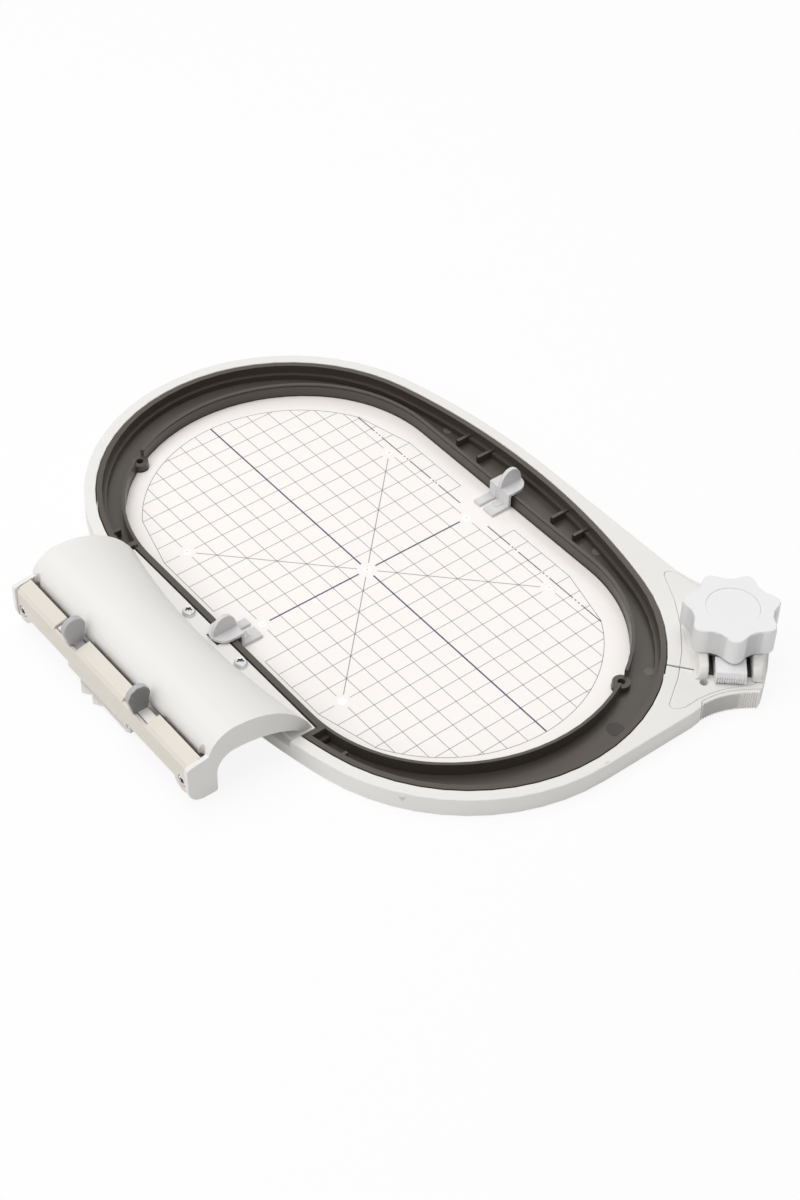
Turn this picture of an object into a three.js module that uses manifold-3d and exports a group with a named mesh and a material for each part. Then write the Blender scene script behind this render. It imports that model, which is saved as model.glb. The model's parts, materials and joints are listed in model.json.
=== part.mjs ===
// Machine embroidery hoop: a split outer ring with a coupling arm and a twist clamp,
// a channelled inner ring, and a marking template held by two clips.
// Millimetres, +Z up, +X away from the coupling, +Y away from the user.

import * as THREE from 'three';
import { mergeVertices } from 'three/addons/utils/BufferGeometryUtils.js';
import Module from 'manifold-3d';

const wasm = await Module();
wasm.setup();

// Clearances and curve fineness
const SLIDE_GAP = 0.3;
const SEAM_GAP = 0.25;
const HOLE_GAP = 0.15;
const ARC_STEPS = 12;
const CURVE_STEPS = 5;
const OPENING_STEPS = 8;
const ROUND_SIDES = 18;
const SMALL_SIDES = 12;
const HALVINGS = 40;
const CUT_MARGIN = 5;
const OVERCUT = 1;

// Outer ring: a four-arc oval with a flat side towards the coupling
const RING_HEIGHT = 10;
const RING_WALL = 5.5;
const OVAL_HALF_LENGTH = 157.3;
const OVAL_HALF_WIDTH = 100.8;
const OVAL_END_INSET = 8.4;
const FLAT_RIM = 3.4;
const FLAT_SIDE_HALF = 71;
const LEDGE_HEIGHT = 6;
const TAB_OUT = 5.2;
const TAB_HALF = 4;
const TAB_LOW = 4;
const TAB_TOP = 8.4;

// Clamp lug on the outer ring, in the clamp's own frame (u outwards, v along the ring)
const CLAMP_FROM_SIDE = 8.15;
const CLAMP_FROM_END = 17.45;
const CLAMP_TURN = THREE.MathUtils.degToRad(-41.5);
const NEAR_STRAIGHT = 50;
const SIDE_STRAIGHT = 92;
const LUG_WAIST = [-7, 31.3];
const LUG_TIP = [11.3, 30.4];
const LUG_CORNER = [15, 29];
const LUG_SHOULDER = [16, 24.5];
const LUG_BULGE_U = 22;
const LUG_FRONT_TIP = [12.6, 31.5];
const LUG_FRONT_WAIST = [-7, 32.6];
const LUG_FRONT_CORNER = [13.6, 30.5];
const LUG_FRONT_SHOULDER = [14.9, 25.5];
const SPLIT_WIDTH = 0.8;
const SPLIT_V = -19.3;
const SPLIT_BEND_U = -15;
const SPLIT_INSIDE_U = -32;
const SPLIT_SLOPE = -0.194;

// Skirt panels let into the lug's top
const PANEL_THICK = 1.2;
const PANEL_TIP = [-26.9, 40.5];
const PANEL_HOLLOW_U = -13.3;
const PANEL_END = [-20, 42];
const PANEL_WAIST = [-8, 29.6];
const PANEL_CORNER = [8, 26.8];
const PANEL_SIDE = [12.6, 21];
const PANEL_SIDE_BULGE_U = 17;
const PANEL_CORNER_DROP = 1;

// Clamp housing: the hump that carries the knob, open in front for the draw bar
const HUMP_TOP = 17;
const HUMP_FRONT = 25;
const HUMP_FRONT_HALF = 14.4;
const HUMP_INNER_U = -20;
const HUMP_OUTER_U = 17;
const HUMP_WIDEST_V = 10.5;
const HUMP_BACK_V = 23;
const HUMP_ROOT = 0.8;
const HUMP_DRAFT = 0.7;
const ARM_WIDTH = 4.7;
const ARM_SLOPE = 2.4;
const THROAT_BACK_V = -9;

// Draw bar with its ribbed head, follower pin and the catch it pulls on
const BAR_HALF = 5;
const BAR_THICK = 2.4;
const BAR_BACK_V = 11;
const HEAD_HALF = 6.8;
const HEAD_FRONT = 27.4;
const HEAD_BACK = 16.4;
const HEAD_HEIGHT = 6.2;
const HEAD_FACE = 3.8;
const HEAD_RIBS = 13;
const HEAD_RIB_DEPTH = 0.7;
const RIB_DEPTH = 0.45;
const DRAW_TRAVEL = 3;
const CATCH_RADIUS = 1.5;
const CATCH_N = 22.2;
const CATCH_HEIGHT = 4.4;
const CATCH_DEPTH = 6;
const FOLLOWER_RADIUS = 1.2;
const FOLLOWER_N = 6;
const FOLLOWER_HEIGHT = 2.5;

// Scroll cam, knob and pivot
const CAM_RADIUS = 11;
const CAM_HEIGHT = 4;
const CAM_TURN = THREE.MathUtils.degToRad(270);
const GROOVE_DEPTH = 2.8;
const HEX_RADIUS = 5;
const HEX_HEIGHT = 4;
const KNOB_TIP = 22.4;
const KNOB_VALLEY = 18.6;
const KNOB_LOBES = 7;
const KNOB_SHARPNESS = 1.5;
const KNOB_LOBE_STEPS = 5;
const KNOB_UNDERCUT = 0.8;
const KNOB_PHASE = THREE.MathUtils.degToRad(-87);
const KNOB_HEIGHT = 14;
const KNOB_WALL = 2.6;
const KNOB_ROOF = 3;
const KNOB_EDGE = 0.6;
const KNOB_HUB = 8.4;
const KNOB_RIBS = 7;
const CAP_RADIUS = 12;
const CAP_THICK = 1.5;
const CAP_SINK = 0.15;
const PIVOT_RADIUS = 2.9;
const PIVOT_HEAD_RADIUS = 5;
const PIVOT_HEAD_HEIGHT = 2.4;
const PIVOT_FLOOR = 1;
const WASHER_THICK = 0.8;
const KNOB_SHELF = 7.6;
const INSERT_WALL = 1.3;

// Ribbed finger grip on the front end of the lug
const LUG_HOLE = [-26.6, -11.4];
const LUG_HOLE_RADIUS = 1.9;
const GRIP_START_U = -12.6;
const GRIP_END_U = 12.8;
const GRIP_THICK = 2.6;
const GRIP_RIBS = 24;
const GRIP_RIB_DEPTH = 0.65;
const GRIP_END_LEAN = 0.9;

// Inner ring: an upward channel between two rims, with a straight-sided opening
const FABRIC_GAP = 0.5;
const SIDE_CHANNEL = 20.05;
const OPENING_SHIFT = -0.55;
const END_CHANNEL = 19.5;
const OPENING_END_FLATTER = 4.65;
const OPENING_CORNER_TIGHTER = 8.75;
const INNER_RIM = 1.5;
const INNER_RIM_HEIGHT = 9;
const OUTER_RIM = 2.6;
const CHANNEL_FLOOR = 2.6;
const CHANNEL_STEP = 2;
const CHANNEL_STEP_HEIGHT = 3;
const RIB_THICK = 1.6;
const RIB_FROM_RIM = 6.4;
const RIB_HEIGHT = 6.6;
const SIDE_RIBS_Y = [-43.2, -27.6, 27.6, 43.2];
const POCKET_RIB_Y = 88;
const LOCATOR_RADIUS = 4.2;
const LOCATOR_HOLE = 1.8;
const LOCATOR_HEIGHT = 5.5;
const LOCATOR_FAR_X = -46.5;
const LOCATOR_NEAR_X = 41;

// Template
const TEMPLATE_GAP = 0.35;
const TEMPLATE_LOW = 0.4;
const TEMPLATE_THICK = 1.6;
const FIELD_SHIFT = -2.75;
const MARK_PITCH = 60;
const MARK_RADIUS = 1.8;

// Template clips
const CLIP_OUT = 2.75;
const CLIP_PLATE = 14;
const CLIP_REACH = 6.4;
const CLIP_SHEET = 1.6;
const CLIP_FIN_HEIGHT = 9.6;
const CLIP_FIN_THICK = 2;
const CLIP_FINGER = 9.9;
const CLIP_WIDE_FINGER = 7;
const CLIP_NARROW_FINGER = 4.6;

// Coupling arm: cover, rail, levers and base; OUT sizes run outwards from the ring's flat side
const COVER_HALF = 69.1;
const COVER_STEPS = 12;
const COVER_ARC_STEPS = 9;
const COVER_WALL = 3;
const COVER_TOE = 1.9;
const COVER_LIP = 1;
const COVER_HOLLOW_OUT = 48.3;
const COVER_END_WALL = 2.2;
const COVER_CROWN_OUT = 40.8;
const COVER_CROWN_Z = 34.5;
const COVER_FOOT_END_OUT = 1;
const COVER_FOOT_MID_OUT = 8;
const COVER_BACK_OUT = 54.5;
const COVER_SHOULDER = 13;
const ARCH_CROWN_Z = 21.2;
const ARCH_CORNER = 9;
const COVER_LEG = 4.2;
const COVER_LEG_LOW = 7.5;
const COVER_RIBS_Y = [-32, 0, 32];
const COVER_RIB = 2.4;
const GROOVE_DEEP = 2.8;
const GROOVE_LOW = 17.5;
const GROOVE_HIGH = 21.4;
const FLUTE_RADIUS = 2.2;
const FLUTE_OUT = 0.6;
const FLUTE_IN = 2.6;
const FLUTE_HIGH = 29;
const FLANGE_THICK = 2.6;
const FLANGE_HALF = 70.3;
const FLANGE_BACK_OUT = 12.3;
const CHEEK_FOOT_Z = 1.8;
const RAIL_FRONT_OUT = 64;
const RAIL_TOP_FRONT = 22.4;
const RAIL_TOP_BACK = 24.2;
const RAIL_LOW = 10;
const RAIL_WALL = 1.6;
const RAIL_CHAMFER = 1.4;
const RAIL_SHADOW_GAP = 2;
const RAIL_SKIRT_LOW = 7;
const RAIL_SKIRT_Y = [-20.5, 26];
const RAIL_END_BLOCK = 7.6;
const RAIL_BOSS = 6;
const RAIL_SCREW_Z = 11.5;
const RAIL_SCREW_IN = 6.1;
const SLOT_INNER = 18.2;
const SLOT_OUTER = 36.3;
const SLOT_LIP_Z = 21.2;
const LEVER_FIN_Y = 25.3;
const LEVER_FIN_FORWARD = 1.1;
const LEVER_FIN_OFFSET = -1.1;
const LEVER_PAD = [22.6, 36];
const LEVER_PAD_HIGH = 21.9;
const LEVER_FIN_THICK = 3;
const LEVER_FIN_RADIUS = 5.6;
const LEVER_FIN_TOP = 35.6;
const LEVER_TRAVEL = 4;
const LEVER_BLOCK_START = 13;
const LEVER_BLOCK_IN = 18.1;
const LEVER_BLOCK_HIGH = 20.4;
const LEVER_BLOCK_LOW = 17.4;
const HOOK_IN = 20.1;
const HOOK_LENGTH = 7;
const HOOK_LOW = 4.6;
const HOOK_TOE = 1.6;
const HOOK_SETBACK = 3.2;
const SPRING_RADIUS = 2;
const SPRING_WIRE = 0.7;
const SPRING_TURNS = 5;
const SPRING_SIDES = 5;
const SPRING_STEPS = 7;
const SPRING_WEB = 2.4;
const BASE_THICK = 2.4;
const BASE_SCREW_IN = 15.1;
const BASE_SETBACK = 2.2;
const TONGUE_LOW = 1.2;
const TONGUE_NEAR_Y = -19.5;
const TONGUE_FAR_Y = 19.4;
const TONGUE_BACK_OUT = 57;
const TONGUE_TEETH = [[62.2, 19.4], [65.5, 13.5], [62.6, 9.4], [65.2, 5], [62.6, 0.8], [62.7, -17.5]];
const TONGUE_NEAR_OUT = 61.8;
const TONGUE_THICK = 1.7;

// Fasteners
const HEAD_CROWN = 0.8;
const FLANGE_SCREW_OUT = 4;
const FLANGE_SCREW_Y = 20.2;
const FLANGE_SCREW = { head: 3.1, height: 2.2, shank: 1.5, length: 6 };
const RAIL_SCREW = { head: 2.8, height: 1.4, shank: 1.4 };
const BASE_SCREW = { head: 1.9, height: 1.4, shank: 1.3, length: 7 };

// Values that follow from the sizes above
const OVAL_END_RADIUS = OVAL_HALF_WIDTH - OVAL_END_INSET;
const OPENING_HALF_WIDTH = OVAL_HALF_WIDTH - SIDE_CHANNEL;
const OPENING_HALF_LENGTH = OVAL_HALF_LENGTH - END_CHANNEL;
const OPENING_END_RADIUS = OPENING_HALF_WIDTH + OPENING_END_FLATTER;
const OPENING_SIDE_RADIUS = OPENING_HALF_WIDTH - OPENING_CORNER_TIGHTER;
const FLAT_SIDE_X = OPENING_HALF_WIDTH - OPENING_SHIFT + FLAT_RIM;
const CLAMP_X = OVAL_HALF_WIDTH - CLAMP_FROM_SIDE;
const CLAMP_Y = CLAMP_FROM_END - OVAL_HALF_LENGTH;
const CLIP_AXIS_X = OPENING_HALF_WIDTH + CLIP_OUT;
const LOCATORS = [{ x: LOCATOR_FAR_X, end: 1 }, { x: LOCATOR_NEAR_X, end: -1 }];
const outFromFlat = (out) => -(FLAT_SIDE_X + out);
const COVER_HOLLOW_X = outFromFlat(COVER_HOLLOW_OUT);
const COVER_CROWN_X = outFromFlat(COVER_CROWN_OUT);
const COVER_FOOT_END_X = outFromFlat(COVER_FOOT_END_OUT);
const COVER_FOOT_MID_X = outFromFlat(COVER_FOOT_MID_OUT);
const COVER_BACK_X = outFromFlat(COVER_BACK_OUT);
const FLANGE_BACK_X = outFromFlat(FLANGE_BACK_OUT);
const RAIL_FRONT_X = outFromFlat(RAIL_FRONT_OUT);
const TONGUE_BACK_X = outFromFlat(TONGUE_BACK_OUT);
const FLANGE_SCREW_X = outFromFlat(FLANGE_SCREW_OUT);
const OVAL_END_Y = OVAL_HALF_LENGTH - OVAL_END_RADIUS;
const OVAL_SIDE_RADIUS = (OVAL_HALF_WIDTH ** 2 + OVAL_END_Y ** 2 - OVAL_END_RADIUS ** 2)
  / (2 * (OVAL_HALF_WIDTH - OVAL_END_RADIUS));
const OPENING_END_Y = OPENING_HALF_LENGTH - OPENING_END_RADIUS;
const FLANGE_TOP = LEDGE_HEIGHT + FLANGE_THICK;
const PANEL_LOW = RING_HEIGHT - PANEL_THICK;
const INSERT_RADIUS = PIVOT_RADIUS + SLIDE_GAP + INSERT_WALL;
const RAIL_SCREW_END = COVER_BACK_X + COVER_LEG - OVERCUT;
const TEMPLATE_TOP = TEMPLATE_LOW + TEMPLATE_THICK;
const BAR_LOW = RING_HEIGHT + SLIDE_GAP;
const BAR_TOP = BAR_LOW + BAR_THICK;
const CAM_LOW = BAR_TOP + SLIDE_GAP;
const CAM_TOP = CAM_LOW + CAM_HEIGHT;
const KNOB_LOW = Math.max(CAM_TOP, HUMP_TOP) + SLIDE_GAP;
const KNOB_TOP = KNOB_LOW + KNOB_HEIGHT;
const BASE_TOP = RAIL_LOW - SEAM_GAP;
const BASE_LOW = BASE_TOP - BASE_THICK;
const BASE_SCREW_TOP = BASE_LOW + BASE_SCREW.height + BASE_SCREW.length;
const RAIL_SCREW_Y = COVER_HALF - RAIL_SCREW_IN;
const BASE_SCREW_Y = COVER_HALF - BASE_SCREW_IN;
const LEVER_BLOCK = [LEVER_BLOCK_START, COVER_HALF - LEVER_BLOCK_IN];
const HOOK = [COVER_HALF - HOOK_IN - HOOK_LENGTH, COVER_HALF - HOOK_IN];
const RAIL_HALF = COVER_HALF - COVER_END_WALL - SEAM_GAP;
const RAIL_SEAT_X = COVER_BACK_X - SLIDE_GAP;
const RAIL_BACK_X = COVER_BACK_X - RAIL_SHADOW_GAP;
const RAIL_MID_X = (RAIL_FRONT_X + RAIL_WALL + RAIL_BACK_X) / 2;
const LEVER_FIN_X = RAIL_MID_X - LEVER_FIN_FORWARD;
const BASE_HALF = RAIL_SCREW_Y - RAIL_BOSS - SLIDE_GAP;
const SPRING_Z = (LEVER_BLOCK_LOW + LEVER_BLOCK_HIGH) / 2;

// Solids from three.js geometry, with joins and cuts
function solid(geometry) {
  const bare = geometry.index ? geometry.toNonIndexed() : geometry.clone();
  bare.deleteAttribute('normal');
  bare.deleteAttribute('uv');
  const merged = mergeVertices(bare, 1e-4);
  const triVerts = [];
  for (let i = 0; i < merged.index.count; i += 3) {
    const corners = [0, 1, 2].map((k) => merged.index.getX(i + k));
    if (new Set(corners).size === 3) triVerts.push(...corners);
  }
  return new wasm.Manifold(new wasm.Mesh({
    numProp: 3,
    vertProperties: new Float32Array(merged.attributes.position.array),
    triVerts: new Uint32Array(triVerts),
  }));
}

function toGeometry(body) {
  const mesh = body.getMesh();
  const geometry = new THREE.BufferGeometry();
  geometry.setAttribute('position', new THREE.BufferAttribute(new Float32Array(mesh.vertProperties), 3));
  geometry.setIndex(new THREE.BufferAttribute(new Uint32Array(mesh.triVerts), 1));
  geometry.computeVertexNormals();
  return geometry;
}

function union(bodies) {
  return bodies.reduce((whole, body) => whole.add(body));
}

function outlinePoints(path, steps = ARC_STEPS) {
  const points = [];
  for (const point of path.getPoints(steps)) {
    if (points.length === 0 || point.distanceTo(points.at(-1)) > 1e-3) points.push(point);
  }
  if (points[0].distanceTo(points.at(-1)) < 1e-3) points.pop();
  return THREE.ShapeUtils.isClockWise(points) ? points.reverse() : points;
}

function extruded(path, depth, steps) {
  const shape = new THREE.Shape(outlinePoints(path, steps));
  return new THREE.ExtrudeGeometry(shape, { depth, bevelEnabled: false });
}

// A prism standing on z = low; place moves it from the clamp's frame to the hoop's
function prism(path, low, high, place = null, steps = ARC_STEPS) {
  const geometry = extruded(path, high - low, steps).translate(0, 0, low);
  return solid(place ? geometry.applyMatrix4(place) : geometry);
}

// A prism along Y of an outline drawn in x and z
function prismY(path, near, far, steps = ARC_STEPS) {
  return solid(extruded(path, far - near, steps).rotateX(Math.PI / 2).translate(0, far, 0));
}

// A prism along X of an outline drawn in y and z
function prismX(path, low, high, steps = ARC_STEPS) {
  const geometry = extruded(path, high - low, steps).rotateX(Math.PI / 2).rotateZ(Math.PI / 2);
  return solid(geometry.translate(low, 0, 0));
}

function polygon(points) {
  return new THREE.Shape(points.map(([x, y]) => new THREE.Vector2(x, y)));
}

function block([x0, x1], [y0, y1], [z0, z1]) {
  const geometry = new THREE.BoxGeometry(x1 - x0, y1 - y0, z1 - z0);
  return solid(geometry.translate((x0 + x1) / 2, (y0 + y1) / 2, (z0 + z1) / 2));
}

function rod(radius, low, high, x = 0, y = 0, sides = ROUND_SIDES) {
  const geometry = new THREE.CylinderGeometry(radius, radius, high - low, sides);
  return solid(geometry.rotateX(Math.PI / 2).translate(x, y, (low + high) / 2));
}

function rodX(radius, low, high, y, z, sides = ROUND_SIDES) {
  const geometry = new THREE.CylinderGeometry(radius, radius, high - low, sides);
  return solid(geometry.rotateZ(Math.PI / 2).translate((low + high) / 2, y, z));
}

// A closed body through rings of equally many points, from the first ring to the last
function loft(sections, flat) {
  const turned = THREE.ShapeUtils.isClockWise(sections[0].map(flat));
  const rings = turned ? sections.map((section) => [...section].reverse()) : sections;
  const count = rings[0].length;
  const positions = rings.flat().flatMap((p) => [p.x, p.y, p.z]);
  const faces = [];
  for (let ring = 0; ring + 1 < rings.length; ring += 1) {
    for (let i = 0; i < count; i += 1) {
      const a = ring * count + i;
      const b = ring * count + ((i + 1) % count);
      faces.push(a, b, b + count, a, b + count, a + count);
    }
  }
  const last = (rings.length - 1) * count;
  for (const [a, b, c] of THREE.ShapeUtils.triangulateShape(rings[0].map(flat), [])) faces.push(c, b, a);
  for (const [a, b, c] of THREE.ShapeUtils.triangulateShape(rings.at(-1).map(flat), [])) {
    faces.push(last + a, last + b, last + c);
  }
  const geometry = new THREE.BufferGeometry();
  geometry.setAttribute('position', new THREE.Float32BufferAttribute(positions, 3));
  geometry.setIndex(faces);
  return solid(geometry);
}

function loftUp(levels) {
  const rings = levels.map(({ z, points }) => points.map((p) => new THREE.Vector3(p.x, p.y, z)));
  return loft(rings, (p) => new THREE.Vector2(p.x, p.y));
}

// Outlines of the rings
function ovalShape(grow) {
  const shape = new THREE.Shape();
  const inset = OVAL_SIDE_RADIUS - OVAL_HALF_WIDTH;
  const spread = Math.atan2(OVAL_END_Y, inset);
  shape.absarc(-inset, 0, OVAL_SIDE_RADIUS + grow, -spread, spread);
  shape.absarc(0, OVAL_END_Y, OVAL_END_RADIUS + grow, spread, Math.PI - spread);
  shape.absarc(inset, 0, OVAL_SIDE_RADIUS + grow, Math.PI - spread, Math.PI + spread);
  shape.absarc(0, -OVAL_END_Y, OVAL_END_RADIUS + grow, Math.PI + spread, 2 * Math.PI - spread);
  return shape;
}

function openingShape(grow) {
  const mid = OPENING_SHIFT;
  const inset = OPENING_HALF_WIDTH - OPENING_SIDE_RADIUS;
  const reach = OPENING_END_RADIUS - OPENING_SIDE_RADIUS;
  const rise = Math.sqrt(Math.max(reach ** 2 - inset ** 2, 0));
  const lean = Math.atan2(rise, inset);
  const sideY = OPENING_END_Y + rise;
  const side = OPENING_SIDE_RADIUS + grow;
  const end = OPENING_END_RADIUS + grow;
  const shape = new THREE.Shape();
  shape.absarc(mid + inset, sideY, side, 0, lean);
  shape.absarc(mid, OPENING_END_Y, end, lean, Math.PI - lean);
  shape.absarc(mid - inset, sideY, side, Math.PI - lean, Math.PI);
  shape.absarc(mid - inset, -sideY, side, Math.PI, Math.PI + lean);
  shape.absarc(mid, -OPENING_END_Y, end, Math.PI + lean, 2 * Math.PI - lean);
  shape.absarc(mid + inset, -sideY, side, 2 * Math.PI - lean, 2 * Math.PI);
  return shape;
}

// The clamp stands on the ring's near right corner; v runs along the ring, its front is -v
const clampPlace = new THREE.Matrix4().makeRotationZ(CLAMP_TURN).setPosition(CLAMP_X, CLAMP_Y, 0);

function lugPoint([u, v]) {
  const point = new THREE.Vector3(u, v, 0).applyMatrix4(clampPlace);
  return [point.x, point.y];
}

function mirrorV([u, v]) {
  return [u, -v];
}

function cornerShape() {
  const right = OVAL_HALF_WIDTH + RING_WALL;
  const near = -(OVAL_HALF_LENGTH + RING_WALL);
  const bend = (through, to) => shape.quadraticCurveTo(...lugPoint(through), ...lugPoint(to));
  const shape = new THREE.Shape();
  shape.moveTo(0, 0);
  shape.lineTo(0, near);
  shape.lineTo(NEAR_STRAIGHT, near);
  bend(mirrorV(LUG_FRONT_WAIST), mirrorV(LUG_FRONT_TIP));
  bend(mirrorV(LUG_FRONT_CORNER), mirrorV(LUG_FRONT_SHOULDER));
  bend([LUG_BULGE_U, 0], LUG_SHOULDER);
  bend(LUG_CORNER, LUG_TIP);
  shape.quadraticCurveTo(...lugPoint(LUG_WAIST), right, -SIDE_STRAIGHT);
  shape.lineTo(right, 0);
  return shape;
}

// The split runs straight out under the clamp, and bends where it reaches the ring's inner edge
function splitV(u) {
  return u > SPLIT_BEND_U ? SPLIT_V : SPLIT_V + (u - SPLIT_BEND_U) * SPLIT_SLOPE;
}

const SPLIT_OUTSIDE_U = LUG_BULGE_U + CUT_MARGIN;

function splitShape() {
  const half = SPLIT_WIDTH / 2;
  const bends = [SPLIT_INSIDE_U, SPLIT_BEND_U, SPLIT_OUTSIDE_U];
  const low = bends.map((u) => [u, splitV(u) - half]);
  const high = bends.map((u) => [u, splitV(u) + half]).reverse();
  return polygon([...low, ...high]);
}

function inFrontOfSplit(shift) {
  const far = -(PANEL_END[1] + 2 * CUT_MARGIN);
  const bends = [SPLIT_INSIDE_U, SPLIT_BEND_U, SPLIT_OUTSIDE_U];
  return polygon([
    ...bends.map((u) => [u, splitV(u) + shift]), [SPLIT_OUTSIDE_U, far], [SPLIT_INSIDE_U, far],
  ]);
}

function panelShape(grow) {
  const outer = ([u, v]) => [u + grow, v + grow];
  const tip = [PANEL_TIP[0] - grow, PANEL_TIP[1] + grow];
  const shape = new THREE.Shape();
  const bend = (through, to) => shape.quadraticCurveTo(...through, ...to);
  shape.moveTo(...mirrorV(tip));
  bend([PANEL_HOLLOW_U - grow, 0], tip);
  bend([tip[0], tip[1] + CUT_MARGIN], outer(PANEL_END));
  bend(outer(PANEL_WAIST), outer(PANEL_CORNER));
  bend(outer([PANEL_SIDE[0], PANEL_CORNER[1] - PANEL_CORNER_DROP]), outer(PANEL_SIDE));
  bend([PANEL_SIDE_BULGE_U + grow, 0], mirrorV(outer(PANEL_SIDE)));
  bend(mirrorV(outer([PANEL_SIDE[0], PANEL_CORNER[1] - PANEL_CORNER_DROP])), mirrorV(outer(PANEL_CORNER)));
  bend(mirrorV(outer(PANEL_WAIST)), mirrorV(outer(PANEL_END)));
  bend([tip[0], -tip[1] - CUT_MARGIN], mirrorV(tip));
  return shape;
}

// The lug's front edge in the clamp's frame, from the ring's near side to the lug's tip
function frontEdge() {
  const inverse = clampPlace.clone().invert();
  const start = new THREE.Vector3(NEAR_STRAIGHT, -(OVAL_HALF_LENGTH + RING_WALL), 0).applyMatrix4(inverse);
  return new THREE.QuadraticBezierCurve(
    new THREE.Vector2(start.x, start.y),
    new THREE.Vector2(...mirrorV(LUG_FRONT_WAIST)),
    new THREE.Vector2(...mirrorV(LUG_FRONT_TIP)),
  );
}

function frontEdgeAt(u) {
  const edge = frontEdge();
  let low = 0;
  let high = 1;
  for (let step = 0; step < HALVINGS; step += 1) {
    const middle = (low + high) / 2;
    if (edge.getPoint(middle).x < u) low = middle;
    else high = middle;
  }
  return edge.getPoint(low).y;
}

// The grip follows the front edge; ribs stand out of it, its back lies GRIP_THICK behind
function gripShape(grow) {
  const start = GRIP_START_U - grow;
  const end = GRIP_END_U + (grow > 0 ? CUT_MARGIN : 0);
  const steps = 2 * GRIP_RIBS;
  const front = [];
  const back = [];
  for (let i = 0; i <= steps; i += 1) {
    const u = start + ((end - start) * i) / steps;
    const rib = grow > 0 ? -CUT_MARGIN : (i % 2 === 1 ? 0 : GRIP_RIB_DEPTH);
    front.push([u, frontEdgeAt(u) + rib]);
    back.push([u, frontEdgeAt(u) + GRIP_THICK + grow]);
  }
  const corner = [end + GRIP_END_LEAN, back.at(-1)[1]];
  return polygon([...front, corner, ...back.reverse()]);
}

function cut(body, tools) {
  return tools.reduce((left, tool) => left.subtract(tool), body);
}

const FAR_SIDES = [-1, 1];

// Outer ring, with its lug for the clamp and the ledge that the coupling's flange sits on
function lugRod(radius, low, high, v, u = 0) {
  const geometry = new THREE.CylinderGeometry(radius, radius, high - low, ROUND_SIDES);
  geometry.rotateX(Math.PI / 2).translate(u, v, (low + high) / 2);
  return solid(geometry.applyMatrix4(clampPlace));
}

// The inner ring's tab on its flat side, and with a gap the notch for it in the ledge and the flange
function tabBlock(grow, low, high) {
  const half = TAB_HALF + grow;
  return block([outFromFlat(TAB_OUT + grow), -FLAT_SIDE_X + OVERCUT + grow], [-half, half], [low, high]);
}

function buildOuterRing() {
  const above = RING_HEIGHT + CUT_MARGIN;
  const beyond = -(OVAL_HALF_WIDTH + RING_WALL + CUT_MARGIN);
  const flatSpan = [-FLAT_SIDE_HALF, FLAT_SIDE_HALF];
  const outside = union([
    prism(ovalShape(RING_WALL), 0, RING_HEIGHT),
    prism(cornerShape(), 0, RING_HEIGHT, null, CURVE_STEPS),
  ]);
  const flatSide = block([beyond, -FLAT_SIDE_X], flatSpan, [-CUT_MARGIN, above]);
  const screwHoles = FAR_SIDES.map((side) => rod(
    FLANGE_SCREW.shank + HOLE_GAP, FLANGE_TOP - FLANGE_SCREW.length - HOLE_GAP, above,
    FLANGE_SCREW_X, side * FLANGE_SCREW_Y,
  ));
  return cut(outside, [
    prism(ovalShape(0), -CUT_MARGIN, above).subtract(flatSide),
    block([beyond, -FLAT_SIDE_X], flatSpan, [LEDGE_HEIGHT, above]),
    prism(splitShape(), -CUT_MARGIN, above, clampPlace),
    prism(panelShape(SEAM_GAP), PANEL_LOW - SLIDE_GAP, above, clampPlace, CURVE_STEPS),
    prism(gripShape(SEAM_GAP), -CUT_MARGIN, above, clampPlace),
    lugRod(INSERT_RADIUS + SLIDE_GAP, PIVOT_FLOOR, above, 0),
    lugRod(CATCH_RADIUS + SLIDE_GAP, RING_HEIGHT - CATCH_DEPTH - SLIDE_GAP, above, -CATCH_N),
    lugRod(LUG_HOLE_RADIUS, RING_HEIGHT - CATCH_DEPTH, above, ...LUG_HOLE),
    tabBlock(SLIDE_GAP, TAB_LOW - SLIDE_GAP, above),
    ...screwHoles,
  ]);
}

// Inner ring
function opening(grow, low, high) {
  return prism(openingShape(grow), low, high, null, OPENING_STEPS);
}

function locatorPlace({ x, end }) {
  const y = OPENING_END_Y + Math.sqrt(OPENING_END_RADIUS ** 2 - (x - OPENING_SHIFT) ** 2);
  return [x, end * y];
}

function innerOutline(inset, low, high) {
  const flatX = -(FLAT_SIDE_X - FABRIC_GAP - inset);
  const flatHalf = FLAT_SIDE_HALF + FABRIC_GAP + inset;
  const beyond = flatX - OVAL_HALF_WIDTH;
  return prism(ovalShape(-FABRIC_GAP - inset), low, high)
    .subtract(block([beyond, flatX], [-flatHalf, flatHalf], [low - OVERCUT, high + OVERCUT]));
}

function crossRib(x0, x1, y) {
  return block([x0, x1], [y - RIB_THICK / 2, y + RIB_THICK / 2], [CHANNEL_FLOOR / 2, RIB_HEIGHT]);
}

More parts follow.
